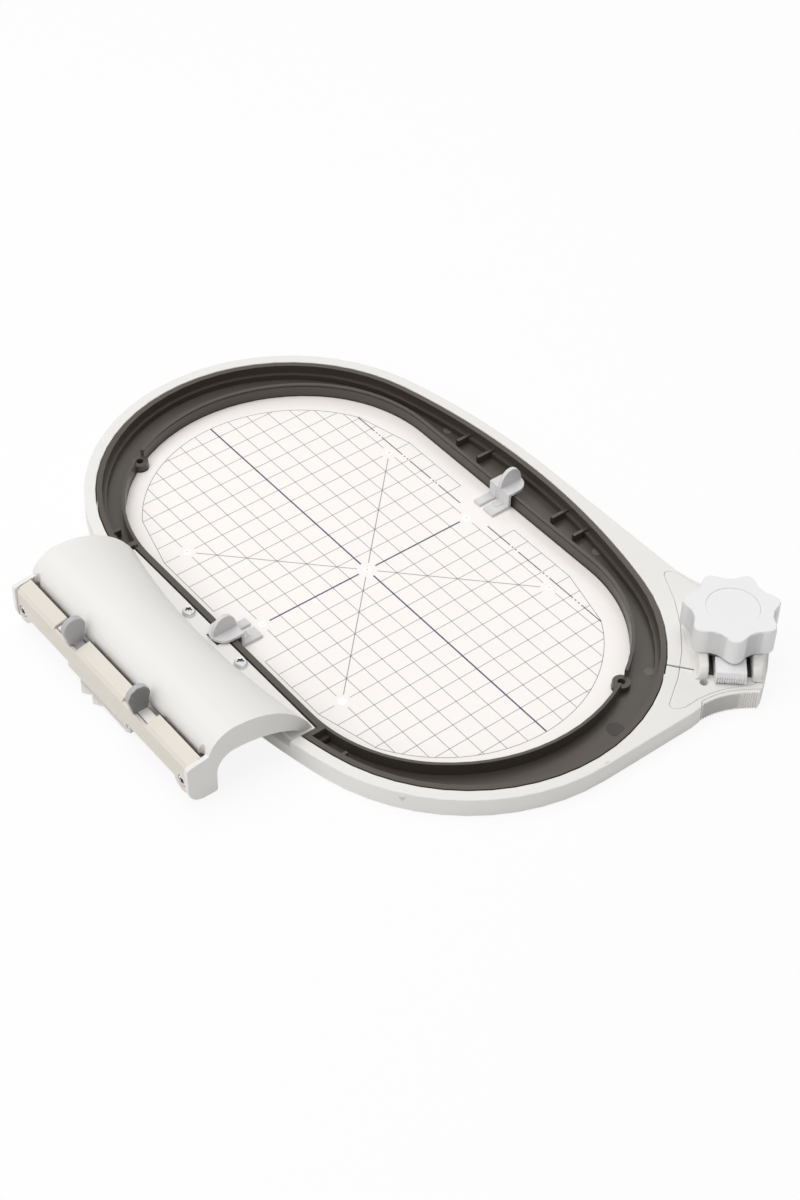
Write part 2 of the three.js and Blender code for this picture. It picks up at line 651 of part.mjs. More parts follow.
function buildInnerRing() {
  const above = RING_HEIGHT + CUT_MARGIN;
  const innerRim = (high) => opening(INNER_RIM, -CUT_MARGIN, high);
  const body = innerOutline(0, 0, RING_HEIGHT);
  const stepTop = CHANNEL_FLOOR + CHANNEL_STEP_HEIGHT;
  const upperChannel = innerOutline(OUTER_RIM, stepTop, above).subtract(innerRim(above + OVERCUT));
  const lowerChannel = innerOutline(OUTER_RIM + CHANNEL_STEP, CHANNEL_FLOOR, above)
    .subtract(innerRim(above + OVERCUT));
  const flatRim = block(
    [-FLAT_SIDE_X, OPENING_SHIFT - OPENING_HALF_WIDTH], [-FLAT_SIDE_HALF, FLAT_SIDE_HALF],
    [INNER_RIM_HEIGHT, above],
  );
  const reach = OPENING_HALF_WIDTH + OPENING_SHIFT + RIB_FROM_RIM;
  const ribs = [
    ...SIDE_RIBS_Y.map((y) => crossRib(reach, OVAL_HALF_WIDTH, y)),
    ...FAR_SIDES.map((side) => crossRib(-OVAL_HALF_WIDTH, -FLAT_SIDE_X + FLAT_RIM, side * POCKET_RIB_Y)),
  ].map((rib) => rib.intersect(innerOutline(OUTER_RIM / 2, 0, RING_HEIGHT)));
  const lowered = opening(INNER_RIM + SEAM_GAP, INNER_RIM_HEIGHT, above);
  const channelled = cut(body, [upperChannel, lowerChannel, lowered, flatRim]);
  const tab = tabBlock(0, TAB_LOW, TAB_TOP);
  const open = union([channelled, tab, ...ribs]).subtract(opening(0, -CUT_MARGIN, above));
  const locators = LOCATORS.map((locator) => {
    const [x, y] = locatorPlace(locator);
    return {
      gap: rod(LOCATOR_RADIUS + SEAM_GAP, LOCATOR_HEIGHT, above, x, y),
      boss: rod(LOCATOR_RADIUS, 0, LOCATOR_HEIGHT, x, y),
      hole: rod(LOCATOR_HOLE, CHANNEL_FLOOR, above, x, y),
    };
  });
  const gapped = cut(open, locators.map(({ gap }) => gap));
  return cut(union([gapped, ...locators.map(({ boss }) => boss)]), locators.map(({ hole }) => hole));
}

// Template: a flat sheet that fills the opening, with marking holes over the field's own grid
function buildTemplate() {
  const through = [TEMPLATE_LOW - OVERCUT, TEMPLATE_TOP + OVERCUT];
  const marks = [[0, 0]];
  for (const column of [-1, 1]) {
    for (const row of [-1, 0, 1]) marks.push([column, row]);
  }
  return cut(opening(-TEMPLATE_GAP, TEMPLATE_LOW, TEMPLATE_TOP), [
    ...LOCATORS.map((locator) => rod(LOCATOR_RADIUS + TEMPLATE_GAP, ...through, ...locatorPlace(locator))),
    ...marks.map(([column, row]) => (
      rod(MARK_RADIUS, ...through, FIELD_SHIFT + column * MARK_PITCH, row * MARK_PITCH, SMALL_SIDES)
    )),
  ]);
}

// A clip stands on the ring's rim and holds the template down with two fingers
function buildClip(side) {
  const half = CLIP_PLATE / 2;
  const low = INNER_RIM_HEIGHT + SLIDE_GAP;
  const high = low + CLIP_SHEET;
  const riserX = CLIP_AXIS_X - CLIP_REACH;
  const fingerX = riserX - CLIP_FINGER;
  const across = (x0, x1) => [side * x0, side * x1].sort((a, b) => a - b);
  const flipped = (path) => polygon(outlinePoints(path, CURVE_STEPS).map((p) => [side * p.x, p.y]));
  const plate = new THREE.Shape();
  plate.moveTo(riserX, -half);
  plate.lineTo(CLIP_AXIS_X, -half);
  plate.absarc(CLIP_AXIS_X, 0, half, -Math.PI / 2, Math.PI / 2);
  plate.lineTo(riserX, half);
  const fin = new THREE.Shape();
  fin.absellipse(CLIP_AXIS_X, high - CLIP_SHEET / 2, half - CLIP_SHEET / 4, CLIP_FIN_HEIGHT, 0, Math.PI);
  const body = union([
    prism(flipped(plate), low, high),
    prismY(flipped(fin), -CLIP_FIN_THICK / 2, CLIP_FIN_THICK / 2),
    block(across(riserX, riserX + CLIP_SHEET), [-half, half], [TEMPLATE_TOP, high]),
    block(across(fingerX, riserX + CLIP_SHEET), [-half, half], [TEMPLATE_TOP, TEMPLATE_TOP + CLIP_SHEET]),
  ]);
  const slit = block(
    across(fingerX - OVERCUT, riserX + 2 * CLIP_SHEET),
    [CLIP_WIDE_FINGER - half, half - CLIP_NARROW_FINGER],
    [TEMPLATE_TOP - OVERCUT, low - CLIP_SHEET],
  );
  return body.subtract(slit);
}

// Clamp, in its own frame
function humpShape(grow) {
  const half = HUMP_FRONT_HALF + grow;
  const outer = HUMP_OUTER_U + grow;
  const inner = HUMP_INNER_U - grow;
  const back = HUMP_BACK_V + grow;
  const shape = new THREE.Shape();
  shape.moveTo(-half, -HUMP_FRONT);
  shape.lineTo(half, -HUMP_FRONT);
  shape.quadraticCurveTo(outer, -HUMP_WIDEST_V, outer, HUMP_WIDEST_V);
  shape.quadraticCurveTo(outer, back, 0, back);
  shape.quadraticCurveTo(inner, back, inner, HUMP_WIDEST_V);
  shape.quadraticCurveTo(-half - HUMP_ROOT, -HUMP_WIDEST_V / 2, -half, -HUMP_FRONT);
  return shape;
}

function buildHousing() {
  const foot = RING_HEIGHT + SLIDE_GAP;
  const above = HUMP_TOP + CUT_MARGIN;
  const level = (z, grow) => ({ z, points: outlinePoints(humpShape(grow), CURVE_STEPS) });
  const hump = loftUp([
    level(foot, HUMP_ROOT),
    level(foot + HUMP_ROOT, 0),
    level(HUMP_TOP - HUMP_DRAFT, -HUMP_DRAFT),
    level(HUMP_TOP, -2 * HUMP_DRAFT),
  ]);
  const core = prism(humpShape(0), PANEL_LOW, foot + HUMP_DRAFT / 2, null, CURVE_STEPS)
    .intersect(prism(panelShape(0), PANEL_LOW - OVERCUT, above, null, CURVE_STEPS));
  const skirt = prism(panelShape(0), PANEL_LOW, RING_HEIGHT, null, CURVE_STEPS);
  const throat = HUMP_FRONT_HALF - ARM_WIDTH;
  const armTop = polygon([
    [-HUMP_FRONT - CUT_MARGIN, HUMP_TOP - ARM_SLOPE], [-HUMP_FRONT, HUMP_TOP - ARM_SLOPE],
    [-HUMP_FRONT + ARM_SLOPE, HUMP_TOP], [-HUMP_FRONT + ARM_SLOPE, above],
    [-HUMP_FRONT - CUT_MARGIN, above],
  ]);
  const side = HUMP_OUTER_U - HUMP_INNER_U;
  return cut(union([hump, core, skirt]), [
    prism(inFrontOfSplit(SPLIT_WIDTH / 2), PANEL_LOW - OVERCUT, foot),
    block([-throat, throat], [-HUMP_FRONT - CUT_MARGIN, THROAT_BACK_V], [RING_HEIGHT, above]),
    block(
      [-BAR_HALF - SLIDE_GAP, BAR_HALF + SLIDE_GAP],
      [-HUMP_FRONT, BAR_BACK_V + 2 * SLIDE_GAP], [RING_HEIGHT, CAM_LOW],
    ),
    rod(CAM_RADIUS + 2 * SLIDE_GAP, CAM_LOW - SLIDE_GAP, above, 0, 0, 2 * ROUND_SIDES),
    rod(PIVOT_RADIUS + SLIDE_GAP, PANEL_LOW - OVERCUT, CAM_LOW),
    prismX(armTop, -side, side),
  ]);
}

function buildFrontPanel() {
  const low = PANEL_LOW - OVERCUT;
  const high = RING_HEIGHT + OVERCUT;
  const [holeV, holeU] = LUG_HOLE;
  return prism(panelShape(0), PANEL_LOW, RING_HEIGHT, null, CURVE_STEPS)
    .intersect(prism(inFrontOfSplit(-SPLIT_WIDTH / 2), low, high))
    .subtract(rod(CATCH_RADIUS + SLIDE_GAP, low, high, 0, -CATCH_N))
    .subtract(rod(LUG_HOLE_RADIUS, low, high, holeU, holeV));
}

function headShape() {
  const top = BAR_LOW + HEAD_HEIGHT;
  const bevel = HEAD_HEIGHT - HEAD_FACE;
  return polygon([
    [-HEAD_BACK, BAR_LOW], [-HEAD_BACK, top], [-HEAD_FRONT + bevel / 2, top],
    [-HEAD_FRONT, BAR_LOW + HEAD_FACE], [-HEAD_FRONT, BAR_LOW + RIB_DEPTH],
    [-HEAD_FRONT + RIB_DEPTH, BAR_LOW],
  ]);
}

function buildDrawBar() {
  const pitch = (2 * HEAD_HALF) / HEAD_RIBS;
  const grooves = [];
  for (let i = 1; i < HEAD_RIBS; i += 1) {
    const u = -HEAD_HALF + i * pitch;
    const notch = polygon([
      [u - pitch / 3, -HEAD_FRONT - OVERCUT], [u + pitch / 3, -HEAD_FRONT - OVERCUT],
      [u + pitch / 6, -HEAD_FRONT + HEAD_RIB_DEPTH], [u - pitch / 6, -HEAD_FRONT + HEAD_RIB_DEPTH],
    ]);
    grooves.push(prism(notch, BAR_LOW - OVERCUT, BAR_LOW + HEAD_FACE));
  }
  const slide = PIVOT_RADIUS + SLIDE_GAP;
  const catchHalf = CATCH_RADIUS + SLIDE_GAP;
  const catchTop = RING_HEIGHT + CATCH_HEIGHT + SLIDE_GAP;
  const bar = union([
    block([-BAR_HALF, BAR_HALF], [-HEAD_BACK - OVERCUT, BAR_BACK_V], [BAR_LOW, BAR_TOP]),
    prismX(headShape(), -HEAD_HALF, HEAD_HALF),
  ]);
  return cut(bar, [
    block([-slide, slide], [-slide, slide + DRAW_TRAVEL], [BAR_LOW - OVERCUT, BAR_TOP + OVERCUT]),
    block(
      [-catchHalf, catchHalf], [-CATCH_N - catchHalf, -CATCH_N + catchHalf + DRAW_TRAVEL],
      [BAR_LOW - OVERCUT, catchTop],
    ),
    rod(FOLLOWER_RADIUS + SLIDE_GAP, BAR_LOW - OVERCUT, BAR_TOP + OVERCUT, 0, -FOLLOWER_N),
    ...grooves,
  ]);
}

function buildFollower() {
  return rod(FOLLOWER_RADIUS, BAR_LOW, BAR_TOP + FOLLOWER_HEIGHT, 0, -FOLLOWER_N, SMALL_SIDES);
}

function buildCatchPin() {
  return rod(CATCH_RADIUS, RING_HEIGHT - CATCH_DEPTH, RING_HEIGHT + CATCH_HEIGHT, 0, -CATCH_N, SMALL_SIDES);
}

// The groove's radius grows by the draw bar's travel over the knob's turn
function scrollShape() {
  const half = FOLLOWER_RADIUS + SLIDE_GAP;
  const spill = half / FOLLOWER_N;
  const steps = 2 * ROUND_SIDES;
  const inner = [];
  const outer = [];
  for (let i = 0; i <= steps; i += 1) {
    const turn = -spill + ((CAM_TURN + 2 * spill) * i) / steps;
    const radius = FOLLOWER_N + DRAW_TRAVEL * THREE.MathUtils.clamp(turn / CAM_TURN, 0, 1);
    const angle = -Math.PI / 2 - turn;
    inner.push([(radius - half) * Math.cos(angle), (radius - half) * Math.sin(angle)]);
    outer.push([(radius + half) * Math.cos(angle), (radius + half) * Math.sin(angle)]);
  }
  return polygon([...outer, ...inner.reverse()]);
}

function buildCam() {
  const disc = rod(CAM_RADIUS, CAM_LOW, CAM_TOP, 0, 0, 2 * ROUND_SIDES);
  const hex = rod(HEX_RADIUS, CAM_TOP - HEX_HEIGHT / 2, CAM_TOP + HEX_HEIGHT, 0, 0, 6);
  return cut(disc.add(hex), [
    rod(PIVOT_RADIUS + SLIDE_GAP, CAM_LOW - OVERCUT, CAM_TOP + HEX_HEIGHT + OVERCUT),
    prism(scrollShape(), CAM_LOW - OVERCUT, CAM_LOW + GROOVE_DEPTH),
  ]);
}

// A star of rounded lobes, with fine ribs in the hollows between them
function starPoints(inset, ribDepth) {
  const points = [];
  const valleySteps = 2 * KNOB_RIBS;
  const lobe = (2 * Math.PI) / KNOB_LOBES;
  const add = (share, rib) => {
    const rise = ((1 + Math.cos(share * 2 * Math.PI)) / 2) ** KNOB_SHARPNESS;
    const radius = KNOB_VALLEY + (KNOB_TIP - KNOB_VALLEY) * rise - inset - rib;
    const angle = KNOB_PHASE + share * lobe;
    points.push(new THREE.Vector2(radius * Math.cos(angle % (2 * Math.PI)), radius * Math.sin(angle)));
  };
  for (let tip = 0; tip < KNOB_LOBES; tip += 1) {
    for (let i = 0; i < KNOB_LOBE_STEPS; i += 1) add(tip - 0.25 + (0.5 * i) / KNOB_LOBE_STEPS, 0);
    for (let i = 0; i < valleySteps; i += 1) {
      add(tip + 0.25 + (0.5 * i) / valleySteps, i % 2 === 1 ? ribDepth : 0);
    }
  }
  return points;
}

function buildKnob() {
  const shelf = KNOB_LOW + KNOB_SHELF;
  const ribTop = KNOB_TOP - 2 * KNOB_EDGE;
  const capFloor = KNOB_TOP - CAP_SINK - CAP_THICK - SLIDE_GAP;
  const body = loftUp([
    { z: KNOB_LOW, points: starPoints(KNOB_UNDERCUT, 0) },
    { z: KNOB_LOW + KNOB_UNDERCUT, points: starPoints(0, RIB_DEPTH) },
    { z: ribTop, points: starPoints(0, RIB_DEPTH) },
    { z: ribTop + KNOB_EDGE, points: starPoints(KNOB_EDGE / 4, 0) },
    { z: KNOB_TOP, points: starPoints(KNOB_EDGE, 0) },
  ]);
  const cavity = prism(new THREE.Shape(starPoints(KNOB_WALL, 0)), KNOB_LOW - OVERCUT, KNOB_TOP - KNOB_ROOF)
    .subtract(rod(KNOB_HUB, KNOB_LOW - 2 * OVERCUT, KNOB_TOP, 0, 0, ROUND_SIDES));
  return cut(body, [
    cavity,
    rod(HEX_RADIUS + SLIDE_GAP, KNOB_LOW - OVERCUT, CAM_TOP + HEX_HEIGHT + SLIDE_GAP, 0, 0, 6),
    rod(PIVOT_RADIUS + SLIDE_GAP, KNOB_LOW - OVERCUT, KNOB_TOP + OVERCUT),
    rod(PIVOT_HEAD_RADIUS + 2 * SLIDE_GAP, shelf, KNOB_TOP + OVERCUT),
    rod(CAP_RADIUS + HOLE_GAP, capFloor, KNOB_TOP + OVERCUT, 0, 0, 2 * ROUND_SIDES),
  ]);
}

function buildCap() {
  const top = KNOB_TOP - CAP_SINK;
  const edge = CAP_SINK / 2;
  const profile = [
    [0, top - CAP_THICK], [CAP_RADIUS, top - CAP_THICK], [CAP_RADIUS, top - edge],
    [CAP_RADIUS - edge, top], [0, top],
  ].map(([radius, z]) => new THREE.Vector2(radius, z));
  return solid(new THREE.LatheGeometry(profile, 2 * ROUND_SIDES).rotateX(Math.PI / 2));
}

function buildPivotScrew() {
  const seat = KNOB_LOW + KNOB_SHELF + WASHER_THICK + 2 * SLIDE_GAP;
  const top = seat + PIVOT_HEAD_HEIGHT;
  return rod(PIVOT_RADIUS, PIVOT_FLOOR + SLIDE_GAP, seat + PIVOT_HEAD_HEIGHT / 2)
    .add(rod(PIVOT_HEAD_RADIUS, seat, top))
    .subtract(rod(PIVOT_HEAD_RADIUS / 2, top - PIVOT_HEAD_HEIGHT / 2, top + OVERCUT, 0, 0, 6));
}

function buildWasher() {
  const low = KNOB_LOW + KNOB_SHELF + SLIDE_GAP;
  return rod(PIVOT_HEAD_RADIUS, low, low + WASHER_THICK)
    .subtract(rod(PIVOT_RADIUS + SLIDE_GAP, low - OVERCUT, low + WASHER_THICK + OVERCUT));
}

function buildInsert() {
  const top = PANEL_LOW - 2 * SLIDE_GAP;
  return rod(INSERT_RADIUS, PIVOT_FLOOR + SLIDE_GAP, top)
    .subtract(rod(PIVOT_RADIUS + SLIDE_GAP, PIVOT_FLOOR - OVERCUT, top + OVERCUT));
}

function buildGrip() {
  return prism(gripShape(0), 0, RING_HEIGHT);
}

// Coupling cover: an arched band, drawn in x and z and lofted along the arm
const COVER_FOOT_RADIUS = (COVER_HALF ** 2 + (COVER_FOOT_END_X - COVER_FOOT_MID_X) ** 2)
  / (2 * (COVER_FOOT_END_X - COVER_FOOT_MID_X));

function coverFoot(y) {
  return COVER_FOOT_MID_X + COVER_FOOT_RADIUS - Math.sqrt(COVER_FOOT_RADIUS ** 2 - y ** 2);
}

// Points of a falling arc from a crown to a foot, as a share of a circle stretched in x
function arcDown(crown, foot, steps) {
  const drop = crown.z - foot.z;
  const run = COVER_FOOT_END_X - COVER_CROWN_X;
  const radius = (run ** 2 + drop ** 2) / (2 * drop);
  const sweep = Math.asin(Math.min(run / radius, 1));
  const points = [];
  for (let i = 0; i <= steps; i += 1) {
    const angle = (sweep * i) / steps;
    const share = Math.sin(angle) / Math.sin(sweep);
    points.push([crown.x + (foot.x - crown.x) * share, crown.z - radius * (1 - Math.cos(angle))]);
  }
  return points;
}

function quarter(centreX, centreZ, radiusX, radiusZ, steps) {
  const points = [];
  for (let i = 0; i <= steps; i += 1) {
    const angle = Math.PI / 2 + (Math.PI / 2) * (i / steps);
    points.push([centreX + radiusX * Math.cos(angle), centreZ + radiusZ * Math.sin(angle)]);
  }
  return points;
}

function sectionAt(points, y) {
  return points.map(([x, z]) => new THREE.Vector3(x, y, z));
}

function loftAlong(sections) {
  return loft(sections, (p) => new THREE.Vector2(p.z, p.x));
}

function spread(from, to, count) {
  return Array.from({ length: count + 1 }, (_, i) => from + ((to - from) * i) / count);
}

function coverSection(y) {
  const foot = coverFoot(y);
  const shoulderZ = COVER_CROWN_Z - COVER_SHOULDER;
  const crown = { x: COVER_CROWN_X, z: COVER_CROWN_Z };
  const outer = arcDown(crown, { x: foot, z: FLANGE_TOP }, COVER_ARC_STEPS).reverse();
  const width = COVER_CROWN_X - COVER_BACK_X;
  const shoulder = quarter(COVER_CROWN_X, shoulderZ, width, COVER_SHOULDER, COVER_ARC_STEPS);
  const legX = COVER_BACK_X + COVER_LEG;
  const archX = legX + ARCH_CORNER;
  const archZ = ARCH_CROWN_Z - ARCH_CORNER;
  const corner = quarter(archX, archZ, ARCH_CORNER, ARCH_CORNER, CURVE_STEPS).reverse();
  const toe = { x: foot - COVER_TOE, z: LEDGE_HEIGHT + COVER_LIP };
  const arch = arcDown({ x: archX, z: ARCH_CROWN_Z }, toe, COVER_ARC_STEPS);
  return sectionAt([
    ...outer, ...shoulder.slice(1), [COVER_BACK_X, COVER_LEG_LOW], [legX, COVER_LEG_LOW],
    ...corner, ...arch.slice(1),
  ], y);
}

function coverHollow(y) {
  const foot = coverFoot(y) - COVER_WALL;
  const top = COVER_CROWN_Z - COVER_WALL;
  const outer = arcDown({ x: COVER_CROWN_X, z: top }, { x: foot, z: FLANGE_TOP }, COVER_ARC_STEPS);
  return sectionAt([
    [COVER_HOLLOW_X, top - COVER_WALL / 2], ...outer, [foot, LEDGE_HEIGHT - CUT_MARGIN],
    [COVER_HOLLOW_X, LEDGE_HEIGHT - CUT_MARGIN],
  ], y);
}

function cheekShape() {
  const front = RAIL_FRONT_X - COVER_LIP;
  const back = COVER_BACK_X + COVER_LEG;
  const heel = (front + back) / 2;
  const shape = new THREE.Shape();
  shape.moveTo(back, RAIL_TOP_BACK + COVER_LIP);
  shape.lineTo(RAIL_FRONT_X + COVER_LIP, RAIL_TOP_FRONT + COVER_LIP);
  shape.quadraticCurveTo(front, RAIL_TOP_FRONT + COVER_LIP, front, RAIL_TOP_FRONT - COVER_LIP);
  shape.lineTo(front, RAIL_SCREW_Z);
  shape.quadraticCurveTo(front, CHEEK_FOOT_Z + COVER_LIP, heel, CHEEK_FOOT_Z);
  shape.lineTo(back - COVER_LIP, CHEEK_FOOT_Z);
  shape.quadraticCurveTo(back, CHEEK_FOOT_Z, back, CHEEK_FOOT_Z + 2 * COVER_LIP);
  return shape;
}

function buildCover() {
  const band = loftAlong(spread(-COVER_HALF, COVER_HALF, COVER_STEPS).map(coverSection));
  const flange = block(
    [FLANGE_BACK_X, -FLAT_SIDE_X - SLIDE_GAP], [-FLANGE_HALF, FLANGE_HALF], [LEDGE_HEIGHT, FLANGE_TOP],
  );
  const cheeks = FAR_SIDES.map((side) => {
    const [near, far] = [side * (COVER_HALF - COVER_END_WALL), side * COVER_HALF].sort((a, b) => a - b);
    return prismY(cheekShape(), near, far, CURVE_STEPS);
  });
  const walls = [-COVER_HALF + COVER_WALL, ...COVER_RIBS_Y, COVER_HALF - COVER_WALL];
  const bays = walls.slice(1).map((wall, i) => {
    const from = i === 0 ? walls[i] : walls[i] + COVER_RIB / 2;
    const to = i + 2 === walls.length ? wall : wall - COVER_RIB / 2;
    return loftAlong(spread(from, to, COVER_STEPS / 4).map(coverHollow));
  });
  const screws = FAR_SIDES.flatMap((side) => [
    rod(FLANGE_SCREW.shank + HOLE_GAP, 0, FLANGE_TOP + OVERCUT, FLANGE_SCREW_X, side * FLANGE_SCREW_Y),
    rodX(
      RAIL_SCREW.shank + HOLE_GAP, COVER_BACK_X - OVERCUT, RAIL_SCREW_END + HOLE_GAP,
      side * RAIL_SCREW_Y, RAIL_SCREW_Z,
    ),
  ]);
  const notch = tabBlock(SLIDE_GAP, LEDGE_HEIGHT - OVERCUT, FLANGE_TOP + OVERCUT);
  const cheekInside = COVER_HALF - COVER_END_WALL;
  const groove = block(
    [COVER_BACK_X - OVERCUT, COVER_BACK_X + GROOVE_DEEP],
    [-cheekInside, cheekInside],
    [GROOVE_LOW, GROOVE_HIGH],
  );
  const flutes = FAR_SIDES.map((side) => (
    rod(FLUTE_RADIUS, GROOVE_LOW, FLUTE_HIGH, COVER_BACK_X - FLUTE_OUT, side * (cheekInside - FLUTE_IN))
  ));
  const backed = cut(band, [...bays, groove, ...flutes]);
  return cut(union([backed, flange.subtract(notch), ...cheeks]), screws);
}

// Coupling rail: a channel that closes the arm's back, with slots for the two levers
function buildRail() {
  const bottom = RAIL_LOW - CUT_MARGIN;
  const behind = RAIL_BACK_X + CUT_MARGIN;
  const outline = polygon([
    [RAIL_FRONT_X, RAIL_LOW], [RAIL_BACK_X, RAIL_LOW],
    [RAIL_BACK_X, RAIL_TOP_BACK], [RAIL_FRONT_X + RAIL_CHAMFER, RAIL_TOP_FRONT + RAIL_CHAMFER / 4],
    [RAIL_FRONT_X, RAIL_TOP_FRONT - RAIL_CHAMFER],
  ]);
  const inside = polygon([
    [RAIL_FRONT_X + RAIL_WALL, bottom], [behind, bottom],
    [behind, RAIL_TOP_BACK - RAIL_WALL], [RAIL_FRONT_X + RAIL_WALL, RAIL_TOP_FRONT - RAIL_WALL],
  ]);
  const postSpan = [LEVER_BLOCK[1] + SLIDE_GAP, RAIL_HALF - RAIL_END_BLOCK];
  const ends = block(
    [RAIL_FRONT_X - OVERCUT, RAIL_SEAT_X + OVERCUT], [-RAIL_HALF, RAIL_HALF], [0, RAIL_TOP_BACK],
  );
  const bosses = FAR_SIDES.map((side) => (
    rodX(RAIL_BOSS, RAIL_FRONT_X, RAIL_SEAT_X, side * RAIL_SCREW_Y, RAIL_SCREW_Z).intersect(ends)
  ));
  const bays = FAR_SIDES.map((side) => {
    const [near, far] = [side * SPRING_WEB / 2, side * postSpan[0]].sort((a, b) => a - b);
    return prismY(inside, near, far);
  });
  const slotTop = RAIL_TOP_BACK + OVERCUT;
  const slots = FAR_SIDES.flatMap((side) => {
    const span = [side * SLOT_INNER, side * SLOT_OUTER].sort((a, b) => a - b);
    return [
      block([RAIL_FRONT_X + RAIL_WALL, behind], span, [LEVER_BLOCK_HIGH + SLIDE_GAP, slotTop]),
      block([RAIL_FRONT_X - OVERCUT, behind], span, [SLOT_LIP_Z, slotTop]),
    ];
  });
  const holes = FAR_SIDES.flatMap((side) => [
    rodX(RAIL_SCREW.shank + HOLE_GAP, RAIL_FRONT_X - OVERCUT, behind, side * RAIL_SCREW_Y, RAIL_SCREW_Z),
    rodX(
      RAIL_SCREW.head + HOLE_GAP, RAIL_FRONT_X - OVERCUT, RAIL_FRONT_X + RAIL_SCREW.height,
      side * RAIL_SCREW_Y, RAIL_SCREW_Z,
    ),
    rod(BASE_SCREW.shank + HOLE_GAP, bottom, BASE_SCREW_TOP + HOLE_GAP, RAIL_MID_X, side * BASE_SCREW_Y),
  ]);
  const skirt = block(
    [RAIL_FRONT_X, RAIL_FRONT_X + RAIL_WALL], RAIL_SKIRT_Y, [RAIL_SKIRT_LOW, RAIL_LOW + RAIL_WALL],
  );
  const channel = prismY(outline, -RAIL_HALF, RAIL_HALF);
  return cut(union([channel, skirt, ...bosses]), [...bays, ...slots, ...holes]);
}

// A release lever: a slide inside the rail, a finger fin above it and a latch hook below
function buildLever(side) {
  const along = (a, b) => [side * a, side * b].sort((low, high) => low - high);
  const front = RAIL_FRONT_X + RAIL_WALL + SLIDE_GAP;
  const back = RAIL_BACK_X - SLIDE_GAP;
  const half = LEVER_FIN_THICK / 2;
  const centreZ = LEVER_FIN_TOP - LEVER_FIN_RADIUS;
  const finY = side * LEVER_FIN_Y + LEVER_FIN_OFFSET;
  const fin = new THREE.Shape();
  fin.absarc(LEVER_FIN_X, centreZ, LEVER_FIN_RADIUS, 0, Math.PI);
  fin.lineTo(RAIL_FRONT_X, SLOT_LIP_Z + SLIDE_GAP);
  fin.lineTo(back, SLOT_LIP_Z + SLIDE_GAP);
  const toe = polygon([
    [HOOK[0], LEVER_BLOCK_LOW + OVERCUT], [HOOK[1], LEVER_BLOCK_LOW + OVERCUT],
    [HOOK[1], HOOK_LOW + HOOK_TOE],
    [HOOK[1] + HOOK_TOE, HOOK_LOW + HOOK_TOE], [HOOK[1] - HOOK_TOE, HOOK_LOW], [HOOK[0], HOOK_LOW],
  ].map(([y, z]) => [side * y, z]));
  return union([
    block([front, back], along(...LEVER_BLOCK), [LEVER_BLOCK_LOW, LEVER_BLOCK_HIGH]),
    block([front, back], along(...LEVER_PAD), [LEVER_BLOCK_LOW, LEVER_PAD_HIGH]),
    prismY(fin, finY - half, finY + half, CURVE_STEPS),
    prismX(toe, front + HOOK_SETBACK, back - SLIDE_GAP),
  ]);
}

class SpringLine extends THREE.Curve {
  constructor(from, to) {
    super();
    this.from = from;
    this.to = to;
  }

  getPoint(share, target = new THREE.Vector3()) {
    const angle = 2 * Math.PI * SPRING_TURNS * share;
    const y = this.from + (this.to - this.from) * share;
    const x = RAIL_MID_X + SPRING_RADIUS * Math.cos(angle);
    return target.set(x, y, SPRING_Z + SPRING_RADIUS * Math.sin(angle));
  }
}

function buildSpring(side) {
  const from = SPRING_WEB / 2 + SLIDE_GAP + SPRING_WIRE;
  const to = LEVER_BLOCK[0] - SLIDE_GAP - SPRING_WIRE;
  const corners = Array.from({ length: SPRING_SIDES }, (_, i) => (2 * Math.PI * i) / SPRING_SIDES);
  const wire = SPRING_WIRE / 2;
  const section = polygon(corners.map((a) => [wire * Math.cos(a), wire * Math.sin(a)]));
  return solid(new THREE.ExtrudeGeometry(section, {
    steps: SPRING_STEPS * SPRING_TURNS,
    bevelEnabled: false,
    extrudePath: new SpringLine(side * from, side * to),
  }));
}

// Coupling base: closes the rail from below, with windows for the hooks and a stepped tongue
function buildBase() {
  const front = RAIL_FRONT_X + BASE_SETBACK;
  const windows = FAR_SIDES.map((side) => {
    const span = [side * (HOOK[0] - LEVER_TRAVEL - SLIDE_GAP), side * (HOOK[1] + 2 * SLIDE_GAP)];
    return block(
      [front + RAIL_WALL, RAIL_BACK_X - SLIDE_GAP / 2], span.sort((a, b) => a - b),
      [BASE_LOW - OVERCUT, BASE_TOP + OVERCUT],
    );
  });
  const tongue = prism(polygon([
    [TONGUE_BACK_X, TONGUE_FAR_Y], ...TONGUE_TEETH.map(([out, y]) => [outFromFlat(out), y]),
    [outFromFlat(TONGUE_NEAR_OUT), TONGUE_NEAR_Y], [TONGUE_BACK_X, TONGUE_NEAR_Y],
  ]), TONGUE_LOW, TONGUE_LOW + TONGUE_THICK);
  const riser = block(
    [front, TONGUE_BACK_X], [TONGUE_NEAR_Y, TONGUE_FAR_Y], [TONGUE_LOW, BASE_LOW + BASE_THICK / 2],
  );
  const screws = FAR_SIDES.flatMap((side) => [
    rod(
      BASE_SCREW.shank + HOLE_GAP, BASE_LOW - OVERCUT, BASE_TOP + OVERCUT,
      RAIL_MID_X, side * BASE_SCREW_Y,
    ),
    rod(
      BASE_SCREW.head + HOLE_GAP, BASE_LOW - OVERCUT, BASE_LOW + BASE_SCREW.height,
      RAIL_MID_X, side * BASE_SCREW_Y,
    ),
  ]);
  const plate = block([front, RAIL_BACK_X], [-BASE_HALF, BASE_HALF], [BASE_LOW, BASE_TOP]);
  return cut(union([plate, tongue, riser]), [...windows, ...screws]);
}

// Fasteners: a head with a cross recess, and a plain shank
function crossRecess(reach, low, high) {
  const arm = reach / 4;
  const bar = block([-reach, reach], [-arm, arm], [low, high]);
  return bar.add(block([-arm, arm], [-reach, reach], [low, high]));
}

